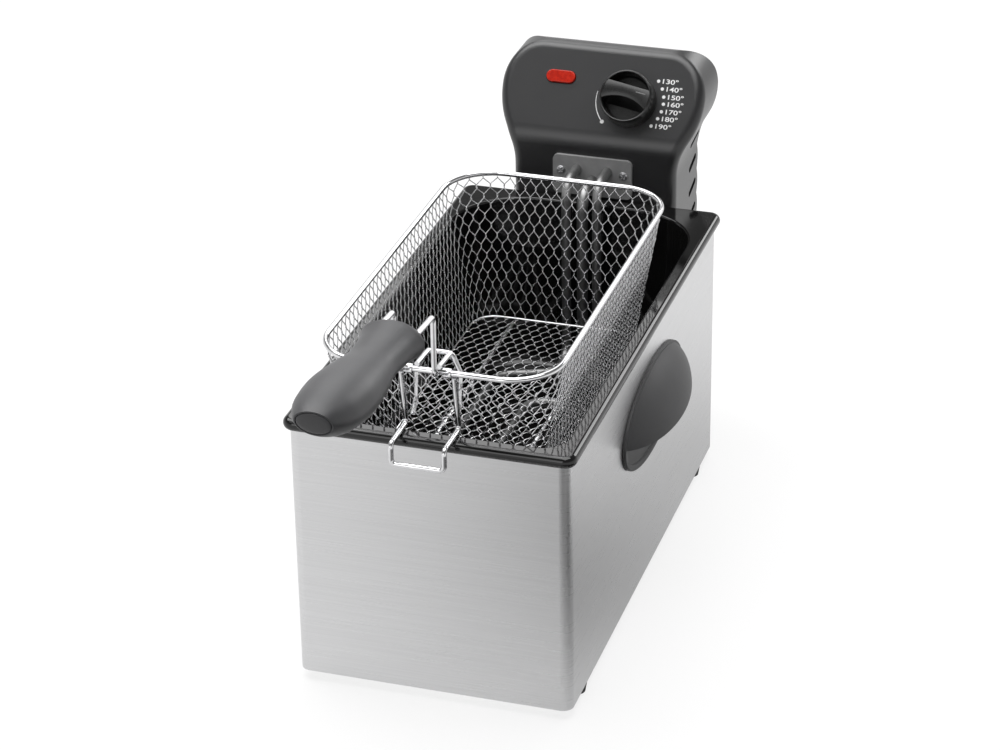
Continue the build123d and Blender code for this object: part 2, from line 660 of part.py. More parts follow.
def net(width, height):
    """A flat net: one face with six-sided gaps in staggered rows."""
    face = Rectangle(width, height)
    pitch = NET_CELL + NET_WEB
    row_h = pitch * cos(radians(30))
    rows = int((height - 2 * NET_MARGIN - pitch) // row_h) + 1
    gaps = []
    for r in range(rows):
        count = int((width - 2 * NET_MARGIN - NET_CELL) // pitch) + 1
        if r % 2 and (count * pitch + NET_CELL) > width - 2 * NET_MARGIN:
            count -= 1
        y = (r - (rows - 1) / 2) * row_h
        for c in range(count):
            gaps.append(Pos((c - (count - 1) / 2) * pitch, y)
                        * RegularPolygon(NET_CELL / 2, 6, major_radius=False, rotation=30))
    return face - (Sketch() + gaps)


def wall_plane(middle, along, outward):
    """Plane of a basket wall that leans outwards towards the rim."""
    lean = radians(BASKET_TAPER)
    normal = Vector(*outward) * cos(lean) - Vector(0, 0, 1) * sin(lean)
    return Plane(origin=middle, x_dir=along, z_dir=normal)


NET_TOP = BASKET_RIM_Z - RIM_WIRE_R - WIRE_GAP
NET_H = NET_TOP - BASKET_FLOOR
NET_MID_INSET = (BASKET_RIM_Z - (NET_TOP + BASKET_FLOOR) / 2) * tan(radians(BASKET_TAPER))
NET_SLANT = NET_H / cos(radians(BASKET_TAPER))
NET_MID_Z = (NET_TOP + BASKET_FLOOR) / 2


def net_front():
    plane = wall_plane((0, BASKET_FRONT_Y + NET_MID_INSET, NET_MID_Z), (1, 0, 0), (0, -1, 0))
    wall = extrude(plane * net(2 * (BASKET_HALF_W - BASKET_FRONT_R), NET_SLANT), -NET_T)
    for x in (-LEG_X, LEG_X):
        room = EYE_L / 2 + SEAT
        wall -= rod((x - room, BASKET_FRONT_Y, BASKET_RIM_Z), (x + room, BASKET_FRONT_Y, BASKET_RIM_Z),
                    RIM_WIRE_R + RUNNING + EYE_WALL + SEAT)
    return wall


def net_rear():
    plane = wall_plane((0, BASKET_BACK_Y - NET_MID_INSET, NET_MID_Z), (-1, 0, 0), (0, 1, 0))
    return extrude(plane * net(2 * (BASKET_HALF_W - BASKET_BACK_R), NET_SLANT), -NET_T)


def net_side():
    y0 = BASKET_FRONT_Y + BASKET_FRONT_R
    y1 = BASKET_BACK_Y - BASKET_BACK_R
    plane = wall_plane((BASKET_HALF_W - NET_MID_INSET, (y0 + y1) / 2, NET_MID_Z), (0, 1, 0), (1, 0, 0))
    return extrude(plane * net(y1 - y0, NET_SLANT), -NET_T)


def net_corners():
    """Cone-shaped corners between the flat nets."""
    slope = tan(radians(BASKET_TAPER))
    thick = NET_T / cos(radians(BASKET_TAPER))
    corners = []
    for y, radius, start in (
        (BASKET_FRONT_Y + BASKET_FRONT_R, BASKET_FRONT_R, -90),
        (BASKET_BACK_Y - BASKET_BACK_R, BASKET_BACK_R, 0),
    ):
        top = radius - (BASKET_RIM_Z - NET_TOP) * slope
        low = radius - BASKET_INSET
        strip = Polyline(
            (top, NET_TOP), (low, BASKET_FLOOR), (low - thick, BASKET_FLOOR), (top - thick, NET_TOP), close=True)
        piece = revolve(Plane.XZ * make_face(strip), Axis.Z, 90)
        piece = Pos(BASKET_HALF_W - radius, y, 0) * Rot(0, 0, start) * piece
        corners += mirrored(piece)
    return corners


def net_floor():
    plan = basket_plan(BASKET_INSET)
    length = BASKET_BACK_Y - BASKET_FRONT_Y - 2 * BASKET_INSET
    middle = Pos(0, (BASKET_FRONT_Y + BASKET_BACK_Y) / 2)
    width = 2 * (BASKET_HALF_W - BASKET_INSET)
    holes = Rectangle(width, length) - net(width, length)
    return Pos(0, 0, BASKET_FLOOR - NET_T) * extrude(plan - middle * holes, NET_T)


def floor_wires():
    z = BASKET_FLOOR - NET_T - STAY_R - WIRE_GAP
    y0 = BASKET_FRONT_Y + BASKET_INSET
    y1 = BASKET_BACK_Y - BASKET_INSET
    return [rod((x, y0, z), (x, y1, z), STAY_R) for x in (-STAY_X, STAY_X)]


def basket_hook():
    """Wire down the front wall, out over the pot's rim and down in front of it."""
    slope = tan(radians(BASKET_TAPER))
    top = BASKET_RIM_Z - RIM_WIRE_R - WIRE_GAP - HOOK_R * slope
    off = HOOK_R + WIRE_GAP

    def wall_y(z):
        return BASKET_FRONT_Y + (BASKET_RIM_Z - z) * slope - off / cos(radians(BASKET_TAPER))

    half = [
        (HOOK_X, wall_y(top), top),
        (HOOK_X, wall_y(HOOK_Z), HOOK_Z),
        (HOOK_X, HOOK_REACH_Y, HOOK_Z),
        (HOOK_X, HOOK_REACH_Y, HOOK_Z - HOOK_DROP),
    ]
    points = half + [(-x, y, z) for x, y, z in reversed(half)]
    return tube(FilletPolyline(*points, radius=HOOK_BEND), HOOK_R)


def handle_bracket():
    """Wire frame inside the front wall, with two arms to the rim, that guides the handle."""
    slope = tan(radians(BASKET_TAPER))
    back_y = BASKET_FRONT_Y + BRACKET_DEPTH
    top_z = BASKET_RIM_Z + BRACKET_RISE
    low_z = HOOK_Z + 2 * HOOK_R
    low_y = BASKET_FRONT_Y + (BASKET_RIM_Z - low_z) * slope + NET_T + BRACKET_R + SEAT
    heel = Vector(low_y + BRACKET_DEPTH / 3, low_z + BRACKET_DEPTH / 3)
    knee_z = BASKET_RIM_Z - BRACKET_KNEE
    knee_y = heel.X + (back_y - heel.X) * (knee_z - heel.Y) / (top_z - heel.Y)
    half = [
        (BRACKET_LOW_X, low_y, low_z),
        (BRACKET_LOW_X, heel.X, heel.Y),
        (BRACKET_LOW_X, knee_y, knee_z),
        (BRACKET_TOP_X, back_y, top_z),
    ]
    points = half + [(-x, y, z) for x, y, z in reversed(half)]
    frame = tube(FilletPolyline(*points, radius=3 * BRACKET_R), BRACKET_R)
    arm_x = BRACKET_TOP_X - ARM_INSET
    arm = rod((arm_x, BASKET_FRONT_Y, BASKET_RIM_Z + RIM_WIRE_R + BRACKET_R + WIRE_GAP),
              (arm_x, back_y, top_z), BRACKET_R)
    return frame + mirrored(arm)


def handle_wires():
    """Two bent wires from eyes on the basket's rim into the grip."""
    eye = extrude(Plane.YZ * (Circle(RIM_WIRE_R + RUNNING + EYE_WALL) - Circle(RIM_WIRE_R + RUNNING)),
                  EYE_L / 2, both=True)
    eye = Pos(LEG_X, BASKET_FRONT_Y, BASKET_RIM_Z) * eye
    hold = RIM_WIRE_R + EYE_WALL
    lean = Vector(LEG_Y - BASKET_FRONT_Y, LEG_LOW_RISE).normalized()
    tilt = radians(GRIP_TILT)
    end_y = GRIP_Y - GRIP_INSERT
    path = FilletPolyline(
        (LEG_X, BASKET_FRONT_Y + hold * lean.X, BASKET_RIM_Z + hold * lean.Y),
        (LEG_X, LEG_Y, LEG_LOW_Z), (LEG_X, LEG_Y, LEG_TOP_Z),
        (LEG_X, end_y, LEG_TOP_Z + (LEG_Y - end_y) * tan(tilt)), radius=LEG_BEND)
    wire = tube(path, LEG_R) + eye
    return mirrored(wire)


def grip_plane(s):
    tilt = radians(GRIP_TILT)
    y = GRIP_Y - s * cos(tilt)
    z = LEG_TOP_Z + (LEG_Y - GRIP_Y) * tan(tilt) + s * sin(tilt)
    return Plane(origin=(0, y, z), x_dir=(1, 0, 0), z_dir=(0, -cos(tilt), sin(tilt)))


GRIP_SECTIONS = [  # share of the length, width, height, drop of the middle
    (0.00, 37.0, 26.0, 0.0),
    (0.03, 43.0, 31.0, 0.0),
    (0.10, 41.5, 30.5, 0.0),
    (0.32, 35.0, 27.5, 0.0),
    (0.70, 43.0, 33.5, 0.0),
    (0.92, 35.0, 26.5, 1.0),
    (1.00, 22.5, 15.0, 2.0),
]


def handle_grip():
    """Waisted, full-bellied grip with an oval end."""
    rings = [grip_plane(share * GRIP_L) * Pos(0, -drop) * Ellipse(w / 2, h / 2)
             for share, w, h, drop in GRIP_SECTIONS]
    body = loft(rings)
    for wire in handle_bores():
        body -= wire
    return body


def handle_bores():
    tilt = radians(GRIP_TILT)
    bores = []
    for x in (-LEG_X, LEG_X):
        start_y = GRIP_Y + BORE_SPARE
        start = (x, start_y, LEG_TOP_Z + (LEG_Y - start_y) * tan(tilt))
        end_y = GRIP_Y - GRIP_INSERT - BORE_SPARE
        bores.append(rod(start, (x, end_y, LEG_TOP_Z + (LEG_Y - end_y) * tan(tilt)), LEG_R + RUNNING))
    return bores


def grip_cap():
    share, width, height, drop = GRIP_SECTIONS[-1]
    outline = Pos(0, -drop) * Ellipse(width / 2 - CAP_EDGE, height / 2 - CAP_EDGE)
    return extrude(grip_plane(share * GRIP_L) * outline, CAP_T)


head_outer = softened(head_block(0, louvred=True), HEAD_EDGE_R)
head_cavity = softened(head_block(HEAD_WALL), HEAD_EDGE_R - HEAD_WALL)
right_handle = carry_handle()
right_net = net_side()

NODES = {
    "outer_casing": casing(),
    "base_plate": base_plate(),
    "feet": feet(),
    "right_carry_handle": right_handle,
    "left_carry_handle": mirror(right_handle, about=Plane.YZ),
    "carry_handle_screws": handle_screws(),
    "head_guide": head_guide(),
    "oil_pot": oil_pot(),
    "head_front_shell": head_front_shell(head_outer, head_cavity),
    "head_rear_cover": head_rear_cover(head_outer, head_cavity),
    "heater_plate": heater_plate(),
    "heater_plate_screws": plate_screws(),
    "heating_element": heating_element(),
    "sensor_tube": sensor_tube(),
    "element_clip": element_clip(),
    "thermostat": thermostat(),
    "indicator_lens": indicator_lens(),
    "neon_lamp": neon_lamp(),
    "safety_cutout": safety_cutout(),
    "terminal_block": terminal_block(),
    "interlock_switch": interlock_switch(),
    "cable_gland": cable_gland(),
    "rear_cover_screws": cover_screws(),
    "thermostat_knob": thermostat_knob(),
    "thermostat_shaft": thermostat_shaft(),
    "reset_button": reset_button(),
    "switch_plunger": plunger_hole(0),
    "basket_rim": basket_rim(),
    "net_front": net_front(),
    "net_rear": net_rear(),
    "net_right": right_net,
    "net_left": mirror(right_net, about=Plane.YZ),
    "net_corners": net_corners(),
    "net_floor": net_floor(),
    "floor_wires": floor_wires(),
    "basket_hook": basket_hook(),
    "handle_bracket": handle_bracket(),
    "handle_wires": handle_wires(),
    "handle_grip": handle_grip(),
    "grip_cap": grip_cap(),
}

# The origin goes to the middle of the footprint
SOLIDS = {name: piece if isinstance(piece, list) else [piece] for name, piece in NODES.items()}
boxes = [solid.bounding_box() for solids in SOLIDS.values() for solid in solids]
SHIFT_Y = -(min(b.min.Y for b in boxes) + max(b.max.Y for b in boxes)) / 2

os.makedirs("parts", exist_ok=True)
for name, solids in SOLIDS.items():
    moved = [Pos(0, SHIFT_Y, 0) * solid for solid in solids]
    export_step(Compound(children=moved) if len(moved) > 1 else moved[0], f"parts/{name}.step")
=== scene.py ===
"""Looks of the deep fryer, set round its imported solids. Metres, in the solids' own frame."""

import json
from math import cos, pi, radians, sin, tan

import bmesh
import bpy
from mathutils import Matrix, Vector


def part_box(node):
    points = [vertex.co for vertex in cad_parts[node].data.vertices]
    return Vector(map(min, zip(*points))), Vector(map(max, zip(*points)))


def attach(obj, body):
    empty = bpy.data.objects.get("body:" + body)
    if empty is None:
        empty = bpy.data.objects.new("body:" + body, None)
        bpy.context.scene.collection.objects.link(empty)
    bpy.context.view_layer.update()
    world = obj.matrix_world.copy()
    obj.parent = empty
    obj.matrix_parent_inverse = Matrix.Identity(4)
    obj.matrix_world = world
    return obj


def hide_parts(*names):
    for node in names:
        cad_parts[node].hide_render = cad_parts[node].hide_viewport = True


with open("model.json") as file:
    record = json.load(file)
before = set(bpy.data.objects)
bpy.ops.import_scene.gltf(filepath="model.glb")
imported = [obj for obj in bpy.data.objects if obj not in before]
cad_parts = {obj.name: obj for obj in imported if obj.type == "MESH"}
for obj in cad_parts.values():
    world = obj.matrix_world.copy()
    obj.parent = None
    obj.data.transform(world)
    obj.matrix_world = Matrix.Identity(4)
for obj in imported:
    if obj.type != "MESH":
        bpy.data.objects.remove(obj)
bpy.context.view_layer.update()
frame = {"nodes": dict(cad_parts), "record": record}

MM = 0.001
EDGE_ANGLE = radians(40)

# Camera, found from the straight edges of the steel box in the photo
AZIMUTH = radians(17.83)
ELEVATION = radians(27.52)
ROLL = radians(-0.92)
DISTANCE = 2.05177
LENS = 112.32
SENSOR = 36.0
CLIP_END = 60.0
AIM_HEIGHT = 0.13963
AIM_SIDE = -0.01045

# Panel of the head, as in the part's source
PANEL_TILT = radians(35.0)
CREASE_Z = 230.5 * MM
KNOB_X = 21.5 * MM
KNOB_UP = 30.5 * MM
KNOB_FOOT = 0.3 * MM
KNOB_TOP = 15.3 * MM
KNOB_R = 19.0 * MM
KNOB_WALL = 2.2 * MM
KNOB_POCKET = 12.0 * MM
KNOB_SIDES = 72
KNOB_FOOT_EDGE = (0.6 * MM, 0.8 * MM)
# Edges of the knob, mm: in from a wall and down from the top, or up from the sunk floor
KNOB_LIP = ((0.4, 1.6), (0.6, 0.7), (1.0, 0.2), (1.4, 0.0))
KNOB_MOUTH = ((-0.3, 0.2), (0.0, 0.7))
KNOB_BOWL = ((0.4, 1.2), (1.6, 0.0))
BAR_TOP = 8.3 * MM
BAR_HALF = 6.5 * MM
BAR_SCOOP = 5.5 * MM
BAR_STEPS = 36
BAR_FLARE = 0.2 * MM
BAR_SUNK = 0.4 * MM
BAR_BELOW = 0.3 * MM
# Edges of the bar, mm: in from its side and down from the knob's top
BAR_UPPER_EDGE = ((0.0, 1.1), (0.25, 0.55), (0.8, 0.3))
BAR_LOWER_EDGE = ((0.7, 0.3), (0.2, 0.6), (0.0, 1.1))
BAR_HOLLOW = (0.45, 0.62)
BAR_SLOPE = radians(-10.0)
MARK = (6.4 * MM, 13.4 * MM)
MARK_UP = 4.7 * MM
MARK_HALF = 0.35 * MM
PRINT_PROUD = 0.12 * MM
SCALE_R = 24.1 * MM
SCALE_DOT_R = 1.2 * MM
OFF_DOT_R = 1.4 * MM
SCALE_MARKS = ((130, 49), (140, 64), (150, 78), (160, 90), (170, 103), (180, 116), (190, 132))
OFF_ANGLE = -134
ARC_START = -79
ARC_WIDTH = 0.75 * MM
ARC_THIN = 0.35
ARC_STEPS = 24
NUMBER_SIZE = 4.6 * MM
NUMBER_WIDEN = 1.45
NUMBER_GAP = 1.8 * MM
NUMBER_BOLD = 0.06 * MM

# Basket
TAPER = radians(10.0)
FRONT_R = 32.5 * MM
BACK_R = 34.0 * MM
CELL_W = 7.4 * MM
ROW_PITCH = 7.0 * MM
TWIST_L = 3.5 * MM
NET_WIRE_R = 0.38 * MM
NET_SIDES = 5
FRAME_WIRE_R = 2 * NET_WIRE_R
FRAME_SIDES = 8
FRAME_STEPS = 160
CUT_STEPS = 12
TWIST_STEPS = 3
EYE_X = 12.2 * MM
EYE_ROOM = 3.4 * MM

# Basket grip; the widths are shares of its length and mm
GRIP_FRONT = -233.0 * MM
GRIP_Z = 281.75 * MM
GRIP_TILT = radians(4.5)
GRIP_RUN = (1.0 * MM, 129.8 * MM)
GRIP_WIDTHS = ((0.0, 39.8), (0.03, 37.6), (0.12, 33.8), (0.28, 31.6), (0.48, 38.5), (0.68, 42.6),
               (0.84, 39.1), (0.94, 31.7), (1.0, 23.6))
GRIP_RATIO = (0.664, 0.747)
GRIP_DROP = (2.34 * MM, 0.17 * MM)
GRIP_BOW = 0.97 * MM
GRIP_LEAN = 0.42
GRIP_LEAN_FROM = 0.76
CAP_SHRINK = 1.5 * MM
GRIP_STEPS = 48
GRIP_EDGE_ANGLE = radians(50)
# Rounded ends, mm: drawn in and moved along
GRIP_NECK = ((6.0, 0.5), (1.3, 0.0), (0.45, 0.3), (0.1, 0.9))
GRIP_MOUTH = ((0.1, 0.0), (0.6, 0.25), (1.1, 0.1), (1.3, -0.6), (3.0, -0.8))
CAP_RINGS = ((0.0, -0.7), (0.0, 0.0), (0.35, 0.35), (1.2, 0.6), (3.2, 0.8))

# Carry handles, from the middle of the casing's side
HOOD_Y = 7.4 * MM
HOOD_Z = 127.25 * MM
HOOD_HALF_L = 71.1 * MM
HOOD_HALF_H = 32.4 * MM
HOOD_REACH = 22.5 * MM
HOOD_DOME = 0.31
HOOD_WALL = 3.0 * MM
HOOD_LIP = 2.25 * MM
HOOD_LIP_FALL = 0.10
HOOD_SAG = 0.12
HOOD_END = radians(80.0)
HOOD_LIP_STEPS = 4
HOOD_EDGE = 0.7 * MM
HOOD_COLUMNS = 56
HOOD_ROWS = 14
HOOD_PLATE_SIDES = 96
# Rings of the plate, mm: in from its outline and out from the steel
HOOD_PLATE_RINGS = ((0.6, 0.02), (0.0, 0.6), (0.0, 1.8), (0.6, 2.5), (4.0, 2.5), (4.5, 2.1),
                    (4.9, 1.4), (12.0, 1.3))

# Screw heads; dome and cross are shares of their radius and height
SCREW_RINGS = 9
SCREW_SIDES = 40
SCREW_DOME = 0.55
SCREW_CROSS_HALF = 0.12
SCREW_CROSS_REACH = 0.62
SCREW_CROSS_DEPTH = 0.65
SCREW_APART = 12.0 * MM

# Studio
SKY_LIT = 0.16
SKY_TOP = 0.20
SKY_BAND = (0.06, 0.42)
FLOOR_HALF = 8.0
FLOOR_SHOWN = 0.90
FLOOR_LIT = 0.14
FLOOR_GLOW = 0.80
# Painted shade: tone of the dark cards that only mirrors see
CARD_TONE = 0.02
# Name, place, aim, width, height, watts
LAMPS = (
    ("key", (-1.1, 0.45, 1.9), (0, 0, 0.12), 1.3, 1.3, 23),
    ("top", (0.1, 0.0, 2.1), (0, 0.05, 0.12), 1.7, 1.7, 38),
    ("panel", (-0.95, -0.68, 1.75), (0, 0.2, 0.26), 0.9, 0.9, 2.4),
    ("fill", (-0.45, -1.8, 0.85), (0, 0.1, 0.2), 1.0, 1.0, 5.5),
    ("rear", (-0.30, 1.15, 1.60), (0, -0.1, 0.2), 1.0, 0.7, 4),
    ("sheen", (-0.45, 1.25, 1.00), (0.0, -0.05, 0.19), 0.70, 0.42, 2.2),
    ("strip", (0.60, 1.40, 0.86), (0.05, 0.0, 0.19), 0.70, 0.50, 5),
)
# Painted shade: dark cards on the floor that only mirrors see. Name, place from the casing's
# middle, radius, shade
CARDS = (
    ("painted_shade_side", (0.20, -0.06, 0.001), 0.22, 0.55),
    ("painted_shade_front", (0.22, -0.50, 0.002), 0.45, 0.90),
    ("painted_shade_corner", (0.34, -0.23, 0.003), 0.28, 0.95),
    ("painted_shade_rear", (0.15, 0.11, 0.004), 0.33, 0.32),
)


# Materials

NOISE_LOW, NOISE_HIGH = 0.3, 0.7


def shader_of(name):
    """A new node material and its parts."""
    made = bpy.data.materials.new(name)
    made.use_nodes = True
    tree = made.node_tree
    return made, tree, tree.nodes["Principled BSDF"]


def noise(tree, scale, stretch=(1.0, 1.0, 1.0), detail=3.0):
    """Noise in the object's own coordinates, in waves per metre."""
    place = tree.nodes.new("ShaderNodeTexCoord")
    mapping = tree.nodes.new("ShaderNodeMapping")
    mapping.inputs["Scale"].default_value = stretch
    grain = tree.nodes.new("ShaderNodeTexNoise")
    grain.inputs["Scale"].default_value = scale
    grain.inputs["Detail"].default_value = detail
    tree.links.new(place.outputs["Object"], mapping.inputs["Vector"])
    tree.links.new(mapping.outputs["Vector"], grain.inputs["Vector"])
    return grain.outputs["Fac"]


def ramp(tree, source, dark, light, low=NOISE_LOW, high=NOISE_HIGH):
    """Colour that runs from dark to light with the source."""
    node = tree.nodes.new("ShaderNodeValToRGB")
    first, last = node.color_ramp.elements
    first.position, last.position = low, high
    first.color = (*dark, 1.0)
    last.color = (*light, 1.0)
    tree.links.new(source, node.inputs["Fac"])
    return node.outputs["Color"]


def span(tree, source, low, high):
    """Number that runs from low to high with the source."""
    node = tree.nodes.new("ShaderNodeMapRange")
    node.inputs["From Min"].default_value = NOISE_LOW
    node.inputs["From Max"].default_value = NOISE_HIGH
    node.inputs["To Min"].default_value = low
    node.inputs["To Max"].default_value = high
    tree.links.new(source, node.inputs["Value"])
    return node.outputs["Result"]


def relief(tree, source, strength, depth, below=None):
    """Bump from the source, on top of another bump if there is one."""
    node = tree.nodes.new("ShaderNodeBump")
    node.inputs["Strength"].default_value = strength
    node.inputs["Distance"].default_value = depth
    tree.links.new(source, node.inputs["Height"])
    if below is not None:
        tree.links.new(below, node.inputs["Normal"])
    return node.outputs["Normal"]


def material(name, dark, light, rough, tone=(30.0, (1, 1, 1)), grain=(1500.0, (1, 1, 1)),
             bump=(0.1, 0.0002), sockets=None):
    """Plastic, enamel or metal: tone and gloss drift slowly, fine grain gives the bump."""
    made, tree, shader = shader_of(name)
    slow = noise(tree, tone[0], tone[1])
    fine = noise(tree, grain[0], grain[1])
    tree.links.new(ramp(tree, slow, dark, light), shader.inputs["Base Color"])
    tree.links.new(span(tree, fine, rough[0], rough[1]), shader.inputs["Roughness"])
    tree.links.new(relief(tree, fine, bump[0], bump[1]), shader.inputs["Normal"])
    for socket, value in (sockets or {}).items():
        shader.inputs[socket].default_value = value
    return made


MATERIALS = {
    "steel": material(
        "steel_brushed", (0.60, 0.60, 0.605), (0.64, 0.64, 0.645), (0.27, 0.33),
        tone=(1500.0, (0.008, 0.008, 1.0)), grain=(3400.0, (0.006, 0.006, 1.0)),
        bump=(0.015, 0.00005), sockets={"Metallic": 1.0, "Anisotropic": 0.35}),
    "zinc": material(
        "zinc_sheet", (0.42, 0.43, 0.44), (0.54, 0.55, 0.56), (0.35, 0.5),
        tone=(60.0, (1, 1, 1)), grain=(400.0, (1, 1, 1)), sockets={"Metallic": 0.9}),
    "foot_rubber": material(
        "foot_rubber", (0.010, 0.010, 0.010), (0.018, 0.018, 0.018), (0.6, 0.8),
        bump=(0.3, 0.0002)),
    "grey_plastic": material(
        "carry_handle_plastic", (0.072, 0.072, 0.074), (0.082, 0.082, 0.084), (0.44, 0.56),
        grain=(3200.0, (1, 1, 1)), bump=(0.12, 0.0001), sockets={"Specular IOR Level": 0.25}),
    "screw_steel": material(
        "screw_steel", (0.36, 0.36, 0.37), (0.50, 0.50, 0.51), (0.25, 0.42),
        tone=(300.0, (1, 1, 1)), sockets={"Metallic": 1.0}),
    "enamel": material(
        "pot_enamel", (0.004, 0.004, 0.004), (0.006, 0.006, 0.006), (0.05, 0.09),
        tone=(25.0, (1, 1, 1)), grain=(260.0, (1, 1, 1)), bump=(0.02, 0.0003)),
    "black_plastic": material(
        "head_plastic", (0.012, 0.012, 0.013), (0.016, 0.016, 0.017), (0.30, 0.38),
        grain=(3800.0, (1, 1, 1)), bump=(0.08, 0.0001), sockets={"Specular IOR Level": 0.65}),
    "knob_plastic": material(
        "knob_plastic", (0.007, 0.007, 0.007), (0.010, 0.010, 0.010), (0.24, 0.34),
        grain=(3000.0, (1, 1, 1)), bump=(0.05, 0.0001), sockets={"Specular IOR Level": 0.5}),
    "heater_steel": material(
        "heater_steel", (0.25, 0.25, 0.25), (0.32, 0.32, 0.32), (0.40, 0.52),
        tone=(120.0, (1, 1, 0.3)), grain=(1800.0, (1, 1, 0.1)), sockets={"Metallic": 1.0}),
    "plate_steel": material(
        "plate_steel", (0.27, 0.27, 0.272), (0.32, 0.32, 0.322), (0.46, 0.58),
        tone=(140.0, (1, 1, 1)), grain=(2400.0, (1, 1, 1)), sockets={"Metallic": 0.2}),
    "switch_plastic": material(
        "switch_plastic", (0.46, 0.44, 0.39), (0.54, 0.52, 0.46), (0.45, 0.6)),
    "red_lens": material(
        "lens_red", (0.36, 0.012, 0.005), (0.50, 0.022, 0.009), (0.12, 0.20),
        tone=(500.0, (1, 1, 1)), grain=(900.0, (1, 1, 1)), bump=(0.15, 0.0002),
        sockets={"Specular IOR Level": 0.25}),
    "lamp_glass": material(
        "lamp_glass", (0.80, 0.62, 0.52), (0.90, 0.75, 0.65), (0.04, 0.10),
        sockets={"Transmission Weight": 0.7}),
    "brass_shaft": material(
        "shaft_brass", (0.62, 0.47, 0.20), (0.74, 0.58, 0.28), (0.25, 0.40),
        sockets={"Metallic": 1.0}),
    "red_button": material(
        "button_red", (0.44, 0.020, 0.016), (0.54, 0.034, 0.026), (0.25, 0.36)),
    "chrome_wire": material(
        "wire_chrome", (0.64, 0.64, 0.65), (0.74, 0.74, 0.75), (0.08, 0.17),
        tone=(160.0, (1, 1, 1)), grain=(900.0, (1, 1, 1)), bump=(0.03, 0.0001),
        sockets={"Metallic": 1.0}),
    "grip_plastic": material(
        "grip_plastic", (0.044, 0.044, 0.047), (0.054, 0.054, 0.057), (0.40, 0.50),
        grain=(3400.0, (1, 1, 1)), bump=(0.12, 0.0001)),
    "white_print": material(
        "white_print", (0.74, 0.74, 0.74), (0.86, 0.86, 0.86), (0.5, 0.6),
        tone=(900.0, (1, 1, 1))),
    "pale_mark": material(
        "pale_mark", (0.14, 0.14, 0.14), (0.22, 0.22, 0.22), (0.4, 0.5),
        tone=(900.0, (1, 1, 1))),
}
OWN_LOOKS = {
    "heater_plate": "plate_steel",
    "handle_grip": "grip_plastic",
    "grip_cap": "grip_plastic",
}

SLOT_OF = {row["node"]: row["material_slot"] for row in frame["record"]["subparts"]}
for node, slot in SLOT_OF.items():
    mesh = frame["nodes"][node].data
    mesh.materials.clear()
    mesh.materials.append(MATERIALS[OWN_LOOKS.get(node, slot)])

# Middle of the casing, seen from above
MIDDLE = Vector((0, (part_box("outer_casing")[0].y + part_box("outer_casing")[1].y) / 2, 0))


# Pieces

def piece(name, mesh, look, body, smooth=True):
    """A new object with its finish, riding on a body."""
    if smooth:
        mesh.shade_smooth()
    made = bpy.data.objects.new(name, mesh)
    bpy.context.scene.collection.objects.link(made)
    mesh.materials.append(MATERIALS[look])
    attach(made, body)
    return made


def tubes(name, lines, radius, sides):
    """One mesh of round wires along the given lines of points."""
    verts, faces = [], []
    turn = [(cos(2 * pi * k / sides), sin(2 * pi * k / sides)) for k in range(sides)]
    for line in lines:
        start = len(verts)
        across = None
        for i, point in enumerate(line):
            ahead = (line[min(i + 1, len(line) - 1)] - line[max(i - 1, 0)]).normalized()
            if across is None:
                across = ahead.orthogonal()
            across = (across - ahead * across.dot(ahead)).normalized()
            other = ahead.cross(across)
            verts += [point + (across * c + other * s) * radius for c, s in turn]
        for i in range(len(line) - 1):
            low = start + i * sides
            for k in range(sides):
                n = (k + 1) % sides
                faces.append((low + k, low + n, low + sides + n, low + sides + k))
        faces.append(tuple(range(start + sides - 1, start - 1, -1)))
        faces.append(tuple(range(len(verts) - sides, len(verts))))
    mesh = bpy.data.meshes.new(name)
    mesh.from_pydata(verts, [], faces)
    return mesh


def skinned(rings):
    """Closed shape through rings of equal count."""
    count = len(rings[0])
    verts = [v for ring in rings for v in ring]
    faces = []
    for i in range(len(rings) - 1):
        low, high = i * count, (i + 1) * count
        for k in range(count):
            n = (k + 1) % count
            faces.append((low + k, low + n, high + n, high + k))
    faces.append(tuple(range(count - 1, -1, -1)))
    faces.append(tuple(range(len(verts) - count, len(verts))))
    return verts, faces


def basket_outline():
    """The rim's middle line and the floor's level, from the solids."""
    low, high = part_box("basket_rim")
    radius = (high.z - low.z) / 2
    return {
        "half_w": (high.x - low.x) / 2 - radius,
        "front": low.y + radius,
        "back": high.y - radius,
        "top": low.z + radius,
        "floor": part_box("net_floor")[1].z,
    }


BASKET = basket_outline()
DEPTH = BASKET["top"] - BASKET["floor"]


def wall_runs():
    """Straight and round stretches of the wall, seen from above, anticlockwise from the front."""
    half_w, front, back = BASKET["half_w"], BASKET["front"], BASKET["back"]
    shrink = DEPTH * tan(TAPER) / 2
    runs = []

    def line(start, end, normal):
        """Adds a straight stretch."""
        runs.append(("line", (end - start).length, start, (end - start).normalized(), normal))

    def arc(centre, radius, begin):
        """Adds a quarter turn."""
        runs.append(("arc", (radius - shrink) * pi / 2, centre, radius, begin))

    x_front, x_back = half_w - FRONT_R, half_w - BACK_R
    y_front, y_back = front + FRONT_R, back - BACK_R
    line(Vector((-x_front, front)), Vector((x_front, front)), Vector((0, -1)))
    arc(Vector((x_front, y_front)), FRONT_R, -pi / 2)
    line(Vector((half_w, y_front)), Vector((half_w, y_back)), Vector((1, 0)))
    arc(Vector((x_back, y_back)), BACK_R, 0.0)
    line(Vector((x_back, back)), Vector((-x_back, back)), Vector((0, 1)))
    arc(Vector((-x_back, y_back)), BACK_R, pi / 2)
    line(Vector((-half_w, y_back)), Vector((-half_w, y_front)), Vector((-1, 0)))
    arc(Vector((-x_front, y_front)), FRONT_R, pi)
    return runs


RUNS = wall_runs()
GIRTH = sum(run[1] for run in RUNS)
COLUMNS = round(GIRTH / CELL_W)


